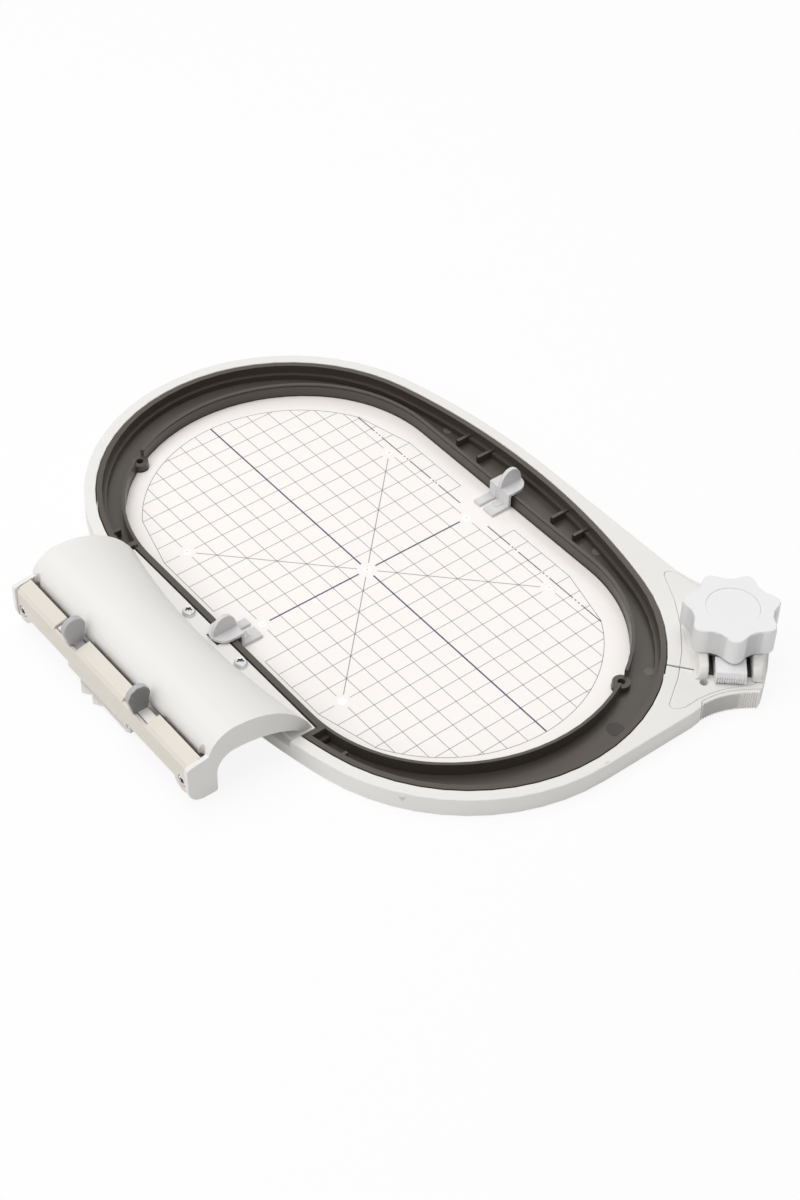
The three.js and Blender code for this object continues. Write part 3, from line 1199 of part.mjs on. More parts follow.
function screwUp({ head, height, shank, length }) {
  const profile = [
    [0, -length], [shank, -length], [shank, 0], [head, 0],
    [head, height / 2], [head * HEAD_CROWN, height], [0, height],
  ].map(([radius, z]) => new THREE.Vector2(radius, z));
  const body = solid(new THREE.LatheGeometry(profile, SMALL_SIDES).rotateX(Math.PI / 2));
  return body.subtract(crossRecess(head / 2, height / 2, height + OVERCUT));
}

const FINISH = {
  ring: finish('#e9e8e6', 0.45),
  rail: finish('#ddd6cb', 0.5),
  inner: finish('#4f4942', 0.5),
  template: finish('#f7f3f0', 0.2),
  clip: finish('#cfcecf', 0.4),
  lever: finish('#b9b8ba', 0.45),
  base: finish('#e3e2df', 0.5),
  knob: finish('#dcdbdb', 0.42),
  steel: finish('#c9ccce', 0.3, 1),
  brass: finish('#c8a24a', 0.35, 1),
};

function finish(color, roughness, metalness = 0) {
  return new THREE.MeshStandardMaterial({ color, roughness, metalness });
}

function piece(group, name, body, material) {
  const mesh = new THREE.Mesh(toGeometry(body), material);
  mesh.name = name;
  group.add(mesh);
  return mesh;
}

const hoop = new THREE.Group();
piece(hoop, 'outer_ring', buildOuterRing(), FINISH.ring);
piece(hoop, 'inner_ring', buildInnerRing(), FINISH.inner);
piece(hoop, 'template_plate', buildTemplate(), FINISH.template);
piece(hoop, 'template_clip_left', buildClip(-1), FINISH.clip);
piece(hoop, 'template_clip_right', buildClip(1), FINISH.clip);
piece(hoop, 'coupling_cover', buildCover(), FINISH.ring);
piece(hoop, 'coupling_rail', buildRail(), FINISH.rail);
piece(hoop, 'coupling_base', buildBase(), FINISH.base);

const clamp = new THREE.Group();
clamp.position.set(CLAMP_X, CLAMP_Y, 0);
clamp.rotation.z = CLAMP_TURN;
hoop.add(clamp);
piece(clamp, 'clamp_housing', buildHousing(), FINISH.ring);
piece(clamp, 'lug_panel_front', buildFrontPanel(), FINISH.ring);
piece(clamp, 'clamp_grip', buildGrip(), FINISH.ring);
piece(clamp, 'draw_bar', buildDrawBar(), FINISH.knob);
piece(clamp, 'follower_pin', buildFollower(), FINISH.steel);
piece(clamp, 'catch_pin', buildCatchPin(), FINISH.steel);
piece(clamp, 'scroll_cam', buildCam(), FINISH.rail);
piece(clamp, 'clamp_knob', buildKnob(), FINISH.knob);
piece(clamp, 'knob_cap', buildCap(), FINISH.knob);
piece(clamp, 'knob_screw', buildPivotScrew(), FINISH.steel);
piece(clamp, 'knob_washer', buildWasher(), FINISH.steel);
piece(clamp, 'pivot_insert', buildInsert(), FINISH.brass);

for (const [where, side] of [['near', -1], ['far', 1]]) {
  piece(hoop, `release_lever_${where}`, buildLever(side), FINISH.lever);
  piece(hoop, `lever_spring_${where}`, buildSpring(side), FINISH.steel);
  const flangeScrew = piece(hoop, `flange_screw_${where}`, screwUp(FLANGE_SCREW), FINISH.steel);
  flangeScrew.position.set(FLANGE_SCREW_X, side * FLANGE_SCREW_Y, FLANGE_TOP);
  const railLength = RAIL_SCREW_END - RAIL_FRONT_X - RAIL_SCREW.height;
  const railShape = screwUp({ ...RAIL_SCREW, length: railLength });
  const railScrew = piece(hoop, `rail_screw_${where}`, railShape, FINISH.steel);
  railScrew.rotation.y = -Math.PI / 2;
  railScrew.position.set(RAIL_FRONT_X + RAIL_SCREW.height, side * RAIL_SCREW_Y, RAIL_SCREW_Z);
  const baseScrew = piece(hoop, `base_screw_${where}`, screwUp(BASE_SCREW), FINISH.steel);
  baseScrew.rotation.x = Math.PI;
  baseScrew.position.set(RAIL_MID_X, side * BASE_SCREW_Y, BASE_LOW + BASE_SCREW.height);
}

// The origin is the middle of the footprint, on the surface that the hoop lies on
const extent = new THREE.Box3().setFromObject(hoop, true);
const middle = extent.getCenter(new THREE.Vector3());
hoop.position.set(-middle.x, -middle.y, -extent.min.z);

export default hoop;
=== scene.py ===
"""Machine embroidery hoop: moulded rings, coupling arm, twist clamp and printed template."""
import json
import math

import bmesh
import bpy
from mathutils import Matrix, Vector


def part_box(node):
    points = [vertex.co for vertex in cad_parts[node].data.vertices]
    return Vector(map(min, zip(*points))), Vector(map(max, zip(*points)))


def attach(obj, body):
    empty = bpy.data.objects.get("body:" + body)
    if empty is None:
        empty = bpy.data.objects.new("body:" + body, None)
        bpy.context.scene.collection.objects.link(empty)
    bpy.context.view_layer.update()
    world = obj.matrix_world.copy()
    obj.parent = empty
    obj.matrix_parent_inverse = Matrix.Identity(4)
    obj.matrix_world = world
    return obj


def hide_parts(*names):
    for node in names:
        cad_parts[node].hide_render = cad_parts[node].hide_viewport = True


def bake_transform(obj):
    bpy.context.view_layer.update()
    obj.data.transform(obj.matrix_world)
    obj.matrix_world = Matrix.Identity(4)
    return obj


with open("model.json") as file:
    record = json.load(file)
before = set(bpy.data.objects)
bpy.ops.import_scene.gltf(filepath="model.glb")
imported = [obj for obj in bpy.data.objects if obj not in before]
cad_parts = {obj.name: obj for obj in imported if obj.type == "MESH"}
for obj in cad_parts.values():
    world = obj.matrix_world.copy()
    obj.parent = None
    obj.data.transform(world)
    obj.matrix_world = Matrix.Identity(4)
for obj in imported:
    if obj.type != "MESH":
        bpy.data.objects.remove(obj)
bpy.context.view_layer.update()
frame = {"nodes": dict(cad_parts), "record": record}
record = frame["record"]
MM = 0.001

BODY_OF = {node: body for body, nodes in record["behaviour"]["bodies"].items() for node in nodes}
SLOT_OF = {row["node"]: row["material_slot"] for row in record["subparts"]}

# The photograph's camera, in millimetres from the hoop's centre and in degrees
CAMERA_PLACE = (-466.52, -587.98, 708.07)
CAMERA_TURN = (45.912, -1.300, -38.210)
CAMERA_LENS = 66.37
SENSOR = 36.0


def corners(node):
    """A node's lowest and highest corner at rest."""
    return [Vector(corner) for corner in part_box(node)]


# The hoop's own centre lies beside the middle of its template; the clamp is laid out about the knob's axis
TEMPLATE_SHIFT = -0.55
template_low, template_high = corners("template_plate")
HOOP_CENTRE = (template_low + template_high) / 2 - Vector((TEMPLATE_SHIFT * MM, 0, 0))
PRINT_HEIGHT = template_high.z
knob_low, knob_high = corners("knob_cap")
CLAMP_CENTRE = (knob_low + knob_high) / 2
CLAMP_TURN = math.radians(-41.5)
HOOP_FRAME = Matrix.Translation((HOOP_CENTRE.x, HOOP_CENTRE.y, 0))
CLAMP_FRAME = Matrix.Translation((CLAMP_CENTRE.x, CLAMP_CENTRE.y, 0)) @ Matrix.Rotation(CLAMP_TURN, 4, "Z")


def hoop_point(x, y, z):
    """A place in millimetres from the hoop's centre, z from the table."""
    return Vector((HOOP_CENTRE.x + x * MM, HOOP_CENTRE.y + y * MM, z * MM))


# Colours and nodes
def linear(hex_colour):
    """An sRGB hex colour as linear RGBA."""
    channels = [int(hex_colour[i:i + 2], 16) / 255 for i in (1, 3, 5)]
    return [c / 12.92 if c <= 0.04045 else ((c + 0.055) / 1.055) ** 2.4 for c in channels] + [1.0]


def cleared(owner):
    """The emptied node tree of a material or of the world."""
    owner.use_nodes = True
    owner.node_tree.nodes.clear()
    return owner.node_tree


def add(tree, kind, inputs=None, **settings):
    """Adds a node, sets its properties and sets or links its inputs."""
    node = tree.nodes.new(kind)
    for name, value in settings.items():
        setattr(node, name, value)
    for name, value in (inputs or {}).items():
        if isinstance(value, bpy.types.NodeSocket):
            tree.links.new(value, node.inputs[name])
        else:
            node.inputs[name].default_value = value
    return node


def per_mm(size):
    """A texture scale, in cycles per metre, for a feature of this many millimetres."""
    return 1 / (size * MM)


# Sockets of a colour Mix node, which shares their names with others
MIX_SHARE = 0
MIX_FIRST = 6
MIX_SECOND = 7
MIX_COLOUR = 2

# Flow marks spread over centimetres. The grain that a tool leaves is about a tenth of a millimetre wide,
# too fine to show, so each plastic and metal below has it at some tenths of a millimetre.
FLOW_MARKS = 38.0
FLOW_DETAIL = 3
FLOW_ROUGHNESS = 0.5
GRAIN_DETAIL = 2
GRAIN_STRENGTH = 0.25
GLOSS_SPREAD = 0.05
RIM_FADE = 0.5


def moulded(name, shade, tint, roughness, grain, relief, ior=1.5, specular=0.5, rim=None):
    """Moulded plastic: an even colour with faint flow marks and the fine grain of the tool.

    grain and relief are the width and height of that grain, in millimetres. rim is a height in millimetres
    and the colour painted above it, a painted highlight along the edge.
    """
    material = bpy.data.materials.new(name)
    tree = cleared(material)
    place = add(tree, "ShaderNodeTexCoord").outputs["Object"]
    flow = add(tree, "ShaderNodeTexNoise", {
        "Vector": place, "Scale": per_mm(FLOW_MARKS), "Detail": FLOW_DETAIL, "Roughness": FLOW_ROUGHNESS,
    })
    colour = add(tree, "ShaderNodeMix", {
        MIX_SHARE: flow.outputs[0], MIX_FIRST: linear(shade), MIX_SECOND: linear(tint),
    }, data_type="RGBA")
    # A painted highlight: a warmer colour above the rim's height
    if rim:
        rim_height, rim_highlight_colour = rim
        height = add(tree, "ShaderNodeSeparateXYZ", {"Vector": place}).outputs["Z"]
        rim_highlight_share = add(tree, "ShaderNodeMapRange", {
            "Value": height, "From Min": (rim_height - RIM_FADE) * MM, "From Max": rim_height * MM,
        })
        colour = add(tree, "ShaderNodeMix", {
            MIX_SHARE: rim_highlight_share.outputs[0], MIX_FIRST: colour.outputs[MIX_COLOUR],
            MIX_SECOND: linear(rim_highlight_colour),
        }, data_type="RGBA")
    speck = add(tree, "ShaderNodeTexNoise", {
        "Vector": place, "Scale": per_mm(grain), "Detail": GRAIN_DETAIL,
    })
    gloss = add(tree, "ShaderNodeMapRange", {
        "Value": speck.outputs[0], "To Min": roughness - GLOSS_SPREAD, "To Max": roughness + GLOSS_SPREAD,
    })
    bump = add(tree, "ShaderNodeBump", {
        "Height": speck.outputs[0], "Strength": GRAIN_STRENGTH, "Distance": relief * MM,
    })
    shader = add(tree, "ShaderNodeBsdfPrincipled", {
        "Base Color": colour.outputs[MIX_COLOUR], "Roughness": gloss.outputs[0], "Normal": bump.outputs[0],
        "IOR": ior, "Specular IOR Level": specular,
    })
    add(tree, "ShaderNodeOutputMaterial", {"Surface": shader.outputs[0]})
    return material


TOOL_MARK_DETAIL = 4
METAL_BRIGHTER = 0.06
METAL_DULLER = 0.08


def drawn_metal(name, shade, roughness, grain):
    """Plated or turned metal: bright, with fine marks left by the tool."""
    material = bpy.data.materials.new(name)
    tree = cleared(material)
    place = add(tree, "ShaderNodeTexCoord").outputs["Object"]
    marks = add(tree, "ShaderNodeTexNoise", {
        "Vector": place, "Scale": per_mm(grain), "Detail": TOOL_MARK_DETAIL,
    })
    gloss = add(tree, "ShaderNodeMapRange", {
        "Value": marks.outputs[0], "To Min": roughness - METAL_BRIGHTER, "To Max": roughness + METAL_DULLER,
    })
    shader = add(tree, "ShaderNodeBsdfPrincipled", {
        "Base Color": linear(shade), "Metallic": 1.0, "Roughness": gloss.outputs[0],
    })
    add(tree, "ShaderNodeOutputMaterial", {"Surface": shader.outputs[0]})
    return material


INK_PATCHES = 9.0
INK_DETAIL = 2
INK_THINNER = 1.25
INK_ROUGHNESS = 0.5


def printed_ink(name, shade):
    """Screen-printed ink: flat colour, a little uneven in density."""
    material = bpy.data.materials.new(name)
    tree = cleared(material)
    place = add(tree, "ShaderNodeTexCoord").outputs["Object"]
    patches = add(tree, "ShaderNodeTexNoise", {
        "Vector": place, "Scale": per_mm(INK_PATCHES), "Detail": INK_DETAIL,
    })
    thin = [c * INK_THINNER for c in linear(shade)[:3]] + [1.0]
    colour = add(tree, "ShaderNodeMix", {
        MIX_SHARE: patches.outputs[0], MIX_FIRST: linear(shade), MIX_SECOND: thin,
    }, data_type="RGBA")
    shader = add(tree, "ShaderNodeBsdfPrincipled", {
        "Base Color": colour.outputs[MIX_COLOUR], "Roughness": INK_ROUGHNESS,
    })
    add(tree, "ShaderNodeOutputMaterial", {"Surface": shader.outputs[0]})
    return material


# Matt moulded ABS of the ring and the arm: an even, slightly warm white whose form only the shading shows
WHITE_ABS = moulded("white_abs_moulded", "#eceae7", "#e8e6e2",
                    roughness=0.52, grain=0.5, relief=0.03, specular=0.35)
# The same plastic without the warm tint: the knob and its draw bar look cooler and a touch brighter
KNOB_ABS = moulded("knob_abs_moulded", "#f0f0f0", "#ebebeb",
                   roughness=0.5, grain=0.5, relief=0.03, specular=0.35)
# Satin ABS of the rail: warm beige, smooth enough for a soft light along its edges
BEIGE_ABS = moulded("rail_beige_abs", "#e0dad0", "#dad3c8",
                    roughness=0.42, grain=0.35, relief=0.02, specular=0.4)
# Nylon is glossier than the rest: brown-black, with a pale sheen on its walls and a warm brown painted
# highlight along its rim
DARK_NYLON = moulded("ring_dark_nylon", "#443d36", "#4c453e",
                     roughness=0.32, grain=0.6, relief=0.05, rim=(9.9, "#483f37"))
# Nylon where an ejector pressed it while warm: paler, duller round marks
MARK_NYLON = moulded("ring_mark_nylon", "#5f5850", "#686159", roughness=0.5, grain=0.4, relief=0.03)
# The darkest, dullest nylon: painted shade in the strips that stand for the shadow deep in gaps, and one
# dark ejector mark's colour
SHADE_AND_DARK_MARK_NYLON = moulded("shade_and_mark_dark_nylon", "#38332e", "#403a35", roughness=0.6, grain=0.6, relief=0.03)
# Cut PET sheet: almost white, with a faint pink tint and a broad soft gloss over barely waved flats
SHEET_PET = moulded("template_pet_sheet", "#fcf7f4", "#faf5f1",
                    roughness=0.22, grain=2.5, relief=0.01, ior=1.57)
# Satin ABS of the clips: light neutral grey with pale edges
GREY_ABS = moulded("clip_grey_abs", "#dad9da", "#d4d3d4", roughness=0.42, grain=0.45, relief=0.03)
# Satin ABS of the levers: mid grey
LEVER_ABS = moulded("lever_grey_abs", "#b6b4b6", "#afadaf", roughness=0.45, grain=0.4, relief=0.03)
# The levers' plastic on the side that a finger pushes: darker and duller, its darkness painted shade, so
# that the pyramids stand out
SHADED_GRIP_ABS = moulded("lever_grip_painted_shade_abs", "#827f80", "#7b7879", roughness=0.5, grain=0.4, relief=0.03)
# Raised index marks in grey ABS: a little darker than the ring under them, painted shade for a moulded
# mark's shading
INDEX_SHADE_ABS = moulded("index_mark_painted_shade_abs", "#cfcdc9", "#c9c7c3", roughness=0.5, grain=0.4, relief=0.02)
# Zinc-plated steel: bright and cool, with blurred tool marks
ZINC_STEEL = drawn_metal("screw_zinc_steel", "#dadcdd", roughness=0.22, grain=0.3)
# The same steel down in a screw's recess: dark grey, painted shade for the depth of the recess
RECESS_SHADE_STEEL = drawn_metal("screw_recess_painted_shade_steel", "#6d7173", roughness=0.3, grain=0.3)
# Turned brass: yellow, with a broader gloss than the steel's
TURNED_BRASS = drawn_metal("insert_turned_brass", "#c8a24a", roughness=0.34, grain=0.4)
# Screen inks: fine lines, a little uneven, from faint grey to violet-black, and white round the holes
INK_GREY = printed_ink("ink_grid_grey", "#7f7d84")
INK_FAINT = printed_ink("ink_diagonal_grey", "#8d8a90")
INK_VIOLET = printed_ink("ink_centre_violet", "#3a3157")
INK_BLACK = printed_ink("ink_dash_black", "#3d3b40")
INK_WHITE = printed_ink("ink_hole_white", "#fbfbfa")

FINISH_OF_SLOT = {
    "white_plastic": WHITE_ABS, "knob_plastic": KNOB_ABS, "beige_plastic": BEIGE_ABS,
    "dark_plastic": DARK_NYLON, "template_sheet": SHEET_PET, "clip_plastic": GREY_ABS,
    "lever_plastic": LEVER_ABS, "steel": ZINC_STEEL, "brass": TURNED_BRASS,
}


# Pieces
SHARP_ANGLE = 40


def placed(name, bm, materials):
    """Makes an object of a bmesh and puts it in the scene."""
    mesh = bpy.data.meshes.new(name)
    bm.to_mesh(mesh)
    bm.free()
    for material in materials:
        mesh.materials.append(material)
    made = bpy.data.objects.new(name, mesh)
    bpy.context.scene.collection.objects.link(made)
    return made


def finished(name, bm, materials, body, sharp=SHARP_ANGLE):
    """Makes a piece of a bmesh, smooth where its faces meet gently.

    It rides on the body, unless that is None, when it rides on none.
    """
    piece = placed(name, bm, materials)
    piece.data.polygons.foreach_set("use_smooth", [True] * len(piece.data.polygons))
    piece.data.set_sharp_from_angle(angle=math.radians(sharp))
    if body:
        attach(piece, body)
    return piece


MERGE_DISTANCE = 0.002


def node_copy(node):
    """A bmesh of a node's own shape, with its loose triangles merged."""
    bm = bmesh.new()
    bm.from_mesh(frame["nodes"][node].data)
    bmesh.ops.remove_doubles(bm, verts=bm.verts, dist=MERGE_DISTANCE * MM)
    return bm


# Rounded edges: how sharp an edge has to be, how many radii wide the faces beside it, more so on a ribbed
# piece, and how the rounding is made; heights are in millimetres
EDGE_ANGLE = math.radians(32)
EDGE_ROOM = 2.5
RIB_ROOM = 6.0
EDGE_SEGMENTS = 3
ROUND_PROFILE = 0.5
FLAT_WEIGHT = 60
FLAT_ANGLE = math.radians(0.6)
ANY_HEIGHT = -1.0
HOUSING_FOOT = 11.3
CAP_SWELL = 1.006


def soften(piece, width, crowded):
    """Rounds a piece's weighted edges, less where they are crowded, and keeps its flats flat in shading."""
    bevel = piece.modifiers.new("rounded_edges", "BEVEL")
    bevel.width = width * MM
    bevel.segments = EDGE_SEGMENTS
    bevel.profile = ROUND_PROFILE
    bevel.limit_method = "WEIGHT"
    bevel.use_clamp_overlap = crowded
    bevel.miter_outer = "MITER_ARC"
    weighted = piece.modifiers.new("flat_shading", "WEIGHTED_NORMAL")
    weighted.keep_sharp = True
    weighted.weight = FLAT_WEIGHT


def weigh_edges(bm, width, room, above, hollows):
    """Marks the sharp edges over a height that have room for a rounding, in millimetres.

    Fine ribs have no such room. hollows says whether the inner corners are rounded too.
    """
    weight = bm.edges.layers.float.new("bevel_weight_edge")
    for edge in bm.edges:
        if len(edge.link_faces) != 2 or edge.calc_face_angle() < EDGE_ANGLE:
            continue
        if sum(vert.co.z for vert in edge.verts) / 2 < above * MM or not (hollows or edge.is_convex):
            continue
        least = room * width * MM * edge.calc_length()
        if all(face.calc_area() > least for face in edge.link_faces):
            edge[weight] = 1.0


# Ribs of the knob and the grip: how sharp and tall the grooves between them are, and how much deeper cut
RIB_ANGLE = math.radians(45)
RIB_LEAST = 3.0
RIB_DEEPER = 0.4


def deepen_ribs(bm):
    """Cuts the grooves between upright ribs deeper, so that they hold a shadow."""
    for edge in bm.edges:
        if len(edge.link_faces) != 2 or edge.is_convex or edge.calc_face_angle() < RIB_ANGLE:
            continue
        first, last = edge.verts
        if abs(first.co.z - last.co.z) > RIB_LEAST * MM:
            inwards = -sum((face.normal for face in edge.link_faces), Vector()).normalized()
            for vert in edge.verts:
                vert.co += inwards * RIB_DEEPER * MM


# The inner rim of the dark ring: where the tops of its walls lie, the heights and depth of its groove, and
# how far from level the normal of an upright wall may be
RIM_LOW = 7.0
RIM_HIGH = 9.1
RIM_GROOVE = (7.7, 8.2)
RIM_GROOVE_DEEP = 0.4
CUT_TOLERANCE = 1e-7
UPRIGHT = 0.2


def face_height(face):
    """The height of a face's middle, in millimetres."""
    return face.calc_center_median().z / MM


def rim_wall(face):
    """Whether a face is an upright one of the rim's side towards the opening."""
    inwards = HOOP_CENTRE - face.calc_center_median()
    top = max(vert.co.z for vert in face.verts) / MM
    return abs(face.normal.z) < UPRIGHT and face.normal.dot(inwards) > 0 and RIM_LOW < top < RIM_HIGH


def groove_rim(bm):
    """A fine groove under the top of the dark ring's inner rim, on the side of the opening."""
    for height in RIM_GROOVE:
        walls = [face for face in bm.faces if rim_wall(face)]
        parts = {part for face in walls for part in (face, *face.edges, *face.verts)}
        bmesh.ops.bisect_plane(bm, geom=list(parts), dist=CUT_TOLERANCE,
                               plane_co=(0, 0, height * MM), plane_no=(0, 0, 1))
    low, high = RIM_GROOVE
    band = [face for face in bm.faces if rim_wall(face) and low < face_height(face) < high]
    bmesh.ops.inset_region(bm, faces=band, thickness=0, depth=-RIM_GROOVE_DEEP * MM, use_boundary=True)


def moulding(node, radius, room=EDGE_ROOM, above=ANY_HEIGHT, swell=1.0, carve=None, crowded=True,
             hollows=True, paint=()):
    """A node's own shape, with its edges rounded as a mould leaves them.

    room is how many radii wide a face has to be, above is the height that the rounding starts from, and
    swell widens a cap to close its seam. carve shapes the copy further. crowded lessens the rounding where
    edges are close together, and hollows rounds the inner corners too. paint has pairs of a further
    material and a test of a face's centre, in millimetres, and normal.
    """
    bm = node_copy(node)
    bmesh.ops.dissolve_limit(bm, angle_limit=FLAT_ANGLE, verts=bm.verts, edges=bm.edges)
    weigh_edges(bm, radius, room, above, hollows)
    if carve:
        carve(bm)
    low, high = corners(node)
    bmesh.ops.scale(bm, vec=(swell, swell, 1), space=Matrix.Translation(-(low + high) / 2), verts=bm.verts)
    slot = SLOT_OF[node]
    materials = [FINISH_OF_SLOT[slot]]
    for material, chosen in paint:
        materials.append(material)
        for face in bm.faces:
            if chosen(face.calc_center_median() / MM, face.normal):
                face.material_index = len(materials) - 1
    piece = finished(node + "_moulding", bm, materials, BODY_OF[node])
    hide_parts(node)
    soften(piece, radius, crowded)


# The levers: the height of the slide's top, the height that the fin starts at, and how squarely a face
# has to look one way to count
LEVER_PAD_TOP = 21.9
LEVER_PAD_BAND = 0.3
FIN_FOOT = 22.5
SQUARE_ON = 0.9


def lever_pad(centre, normal):
    """The lever's flat slide, which is of white plastic."""
    return normal.z > SQUARE_ON and abs(centre.z - LEVER_PAD_TOP) < LEVER_PAD_BAND


def pushed_face(centre, normal):
    """The side of a lever's fin that a finger pushes: the one towards its own end of the arm, painted darker
    as shade.
    """
    return normal.y * math.copysign(1, centre.y) > SQUARE_ON and centre.z > FIN_FOOT


# Radius of each moulding's edges in millimetres, and what else is particular to it
EDGE_RADIUS = {
    "outer_ring": 0.7, "template_plate": 0.15, "coupling_cover": 0.6, "coupling_rail": 0.35,
    "coupling_base": 0.3, "lug_panel_front": 0.2, "draw_bar": 0.4, "clamp_housing": 1.2,
    "template_clip_left": 0.4, "template_clip_right": 0.4, "inner_ring": 0.4, "clamp_grip": 0.3,
    "clamp_knob": 0.4, "knob_cap": 0.1, "release_lever_near": 0.5, "release_lever_far": 0.5,
}
OUTER_EDGES = {"crowded": False, "hollows": False}
LEVER_CHOICES = {"paint": [(WHITE_ABS, lever_pad), (SHADED_GRIP_ABS, pushed_face)], **OUTER_EDGES}
MOULD_CHOICES = {
    "draw_bar": OUTER_EDGES,
    "clamp_housing": {"above": HOUSING_FOOT, **OUTER_EDGES},
    "template_clip_left": {"hollows": False},
    "template_clip_right": {"hollows": False},
    "inner_ring": {"carve": groove_rim},
    "clamp_grip": {"carve": deepen_ribs},
    "clamp_knob": {"room": RIB_ROOM, "carve": deepen_ribs},
    "knob_cap": {"swell": CAP_SWELL},
    "release_lever_near": LEVER_CHOICES,
    "release_lever_far": LEVER_CHOICES,
}
for node_name, edge_radius in EDGE_RADIUS.items():
    moulding(node_name, edge_radius, **MOULD_CHOICES.get(node_name, {}))


# Turned pieces: loops of edges, joined from one end to the other
TURN_SIDES = 24
STAR_POINTS = 6


def loop(bm, radius, height, notch):
    """A round loop of edges, or a star where notch is over zero."""
    level = Matrix.Translation((0, 0, height * MM))
    verts = bmesh.ops.create_circle(bm, segments=TURN_SIDES, radius=radius * MM, matrix=level)["verts"]
    for i, vert in enumerate(verts):
        swing = 1 - notch * (1 - math.cos(STAR_POINTS * math.tau * i / TURN_SIDES)) / 2
        vert.co.x *= swing
        vert.co.y *= swing
    return list({edge for vert in verts for edge in vert.link_edges})


def turned(bm, rings, place, material_index=0):
    """A closed body through rings of (radius, height, notch), put in its place by a matrix.

    No two rings that follow each other are at one height, because loops in one plane are joined crosswise.
    """
    before = set(bm.faces)
    loops = [loop(bm, *ring) for ring in rings]
    for low, high in zip(loops, loops[1:]):
        bmesh.ops.bridge_loops(bm, edges=low + high)
    for end in (loops[0], loops[-1]):
        bmesh.ops.edgeloop_fill(bm, edges=end)
    made = [face for face in bm.faces if face not in before]
    bmesh.ops.recalc_face_normals(bm, faces=made)
    for face in made:
        face.material_index = material_index
    verts = list({vert for face in made for vert in face.verts})
    bmesh.ops.transform(bm, matrix=place, verts=verts)
    return made


# A screw's head, from its seat over the dome to the star's floor: shares of its radius and height, and notch
HEAD_STAR = 0.62
STAR_FLOOR = 0.9 * HEAD_STAR
STAR_NOTCH = 0.34
HEAD_PROFILE = [
    (1, 0, 0), (1, 0.45, 0), (0.93, 0.78, 0), (0.76, 1, 0), (HEAD_STAR, 0.98, STAR_NOTCH),
    (STAR_FLOOR, 0.55, STAR_NOTCH),
]
SHANK_OVERLAP = 0.05
STAR_MIDDLE = 0.2
STAR_TOP = 0.9
# The way each kind of screw's head looks, the head's height and the shank's radius in millimetres
SCREWS = {
    "flange_screw_": ((0, 0, 1), 2.2, 1.5),
    "rail_screw_": ((-1, 0, 0), 1.4, 1.4),
    "base_screw_": ((0, 0, -1), 1.4, 1.3),
}


def star_screw(node, towards, head_height, shank):
    """A screw with a domed head and a star recess, its head towards the given axis."""
    low, high = corners(node)
    along = Vector(towards)
    middle = (low + high) / 2
    reach = abs((high - low).dot(along)) / 2
    across = [abs(size) for size, share in zip(high - low, along) if share == 0]
    head = min(across) / 2 / MM
    length = 2 * reach / MM - head_height
    rings = [(shank, -length, 0), (shank, SHANK_OVERLAP, 0)]
    rings += [(wide * head, tall * head_height, notch) for wide, tall, notch in HEAD_PROFILE]
    seat = middle + along * (reach - head_height * MM)
    turn = Vector((0, 0, 1)).rotation_difference(along).to_matrix().to_4x4()
    bm = bmesh.new()
    made = turned(bm, rings, Matrix.Translation(seat) @ turn)
    star = HEAD_STAR * head * MM
    # The recess's walls take the dark steel: painted shade
    for face in made:
        offset = face.calc_center_median() - seat
        depth = offset.dot(along)
        sideways = (offset - along * depth).length
        if STAR_MIDDLE * star < sideways < star and 0 < depth < STAR_TOP * head_height * MM:
            face.material_index = 1
    piece = finished(node + "_star", bm, [ZINC_STEEL, RECESS_SHADE_STEEL], BODY_OF[node])
    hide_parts(node)


for end_name in ("near", "far"):
    for screw_name, (head_way, head_rise, shank_radius) in SCREWS.items():
        star_screw(screw_name + end_name, head_way, head_rise, shank_radius)

# The nodes that keep their own shape take the same finishes
for node_name, slot_name in SLOT_OF.items():
    node_mesh = frame["nodes"][node_name].data
    node_mesh.materials.clear()
    node_mesh.materials.append(FINISH_OF_SLOT[slot_name])


# Painted shadow strips, in millimetres: dark slabs for the shade deep in the gaps between rail and cover in
# the hoop's frame, and beside the draw bar and in the split of the lug in the clamp's frame
SLAB_EDGE = 0.1
SLAB_SEGMENTS = 2
RAIL_SHADOW_STRIP_X = (-141.45, -140.2)
RAIL_SHADOW_STRIP_Z = (20.0, 23.5)
RAIL_SHADOW_STRIP_SPANS = [(-61.8, -36.5), (-18.0, 18.0), (36.5, 61.8)]
WELL_U = (7.0, 9.6)
WELL_V = (-22.0, -10.0)
WELL_Z = (9.9, 10.3)
SPLIT_START = Vector((-28.0, -16.78))
SPLIT_BEND = Vector((-15.2, -19.3))
SPLIT_HALF = 0.36
SPLIT_Z = (4.0, 9.4)


def slab(bm, place, low, high):
    """A bar between two corners, in millimetres of the given frame, with its edges rounded."""
    low, high = Vector(low), Vector(high)
    size = Matrix.Diagonal(((high - low) * MM).to_4d())
    middle = Matrix.Translation((low + high) / 2 * MM)
    verts = bmesh.ops.create_cube(bm, size=1, matrix=place @ middle @ size)["verts"]
    edges = list({edge for vert in verts for edge in vert.link_edges})
    bmesh.ops.bevel(bm, geom=edges, offset=SLAB_EDGE * MM, offset_type="OFFSET", segments=SLAB_SEGMENTS,
                    profile=ROUND_PROFILE, affect="EDGES", material=-1)


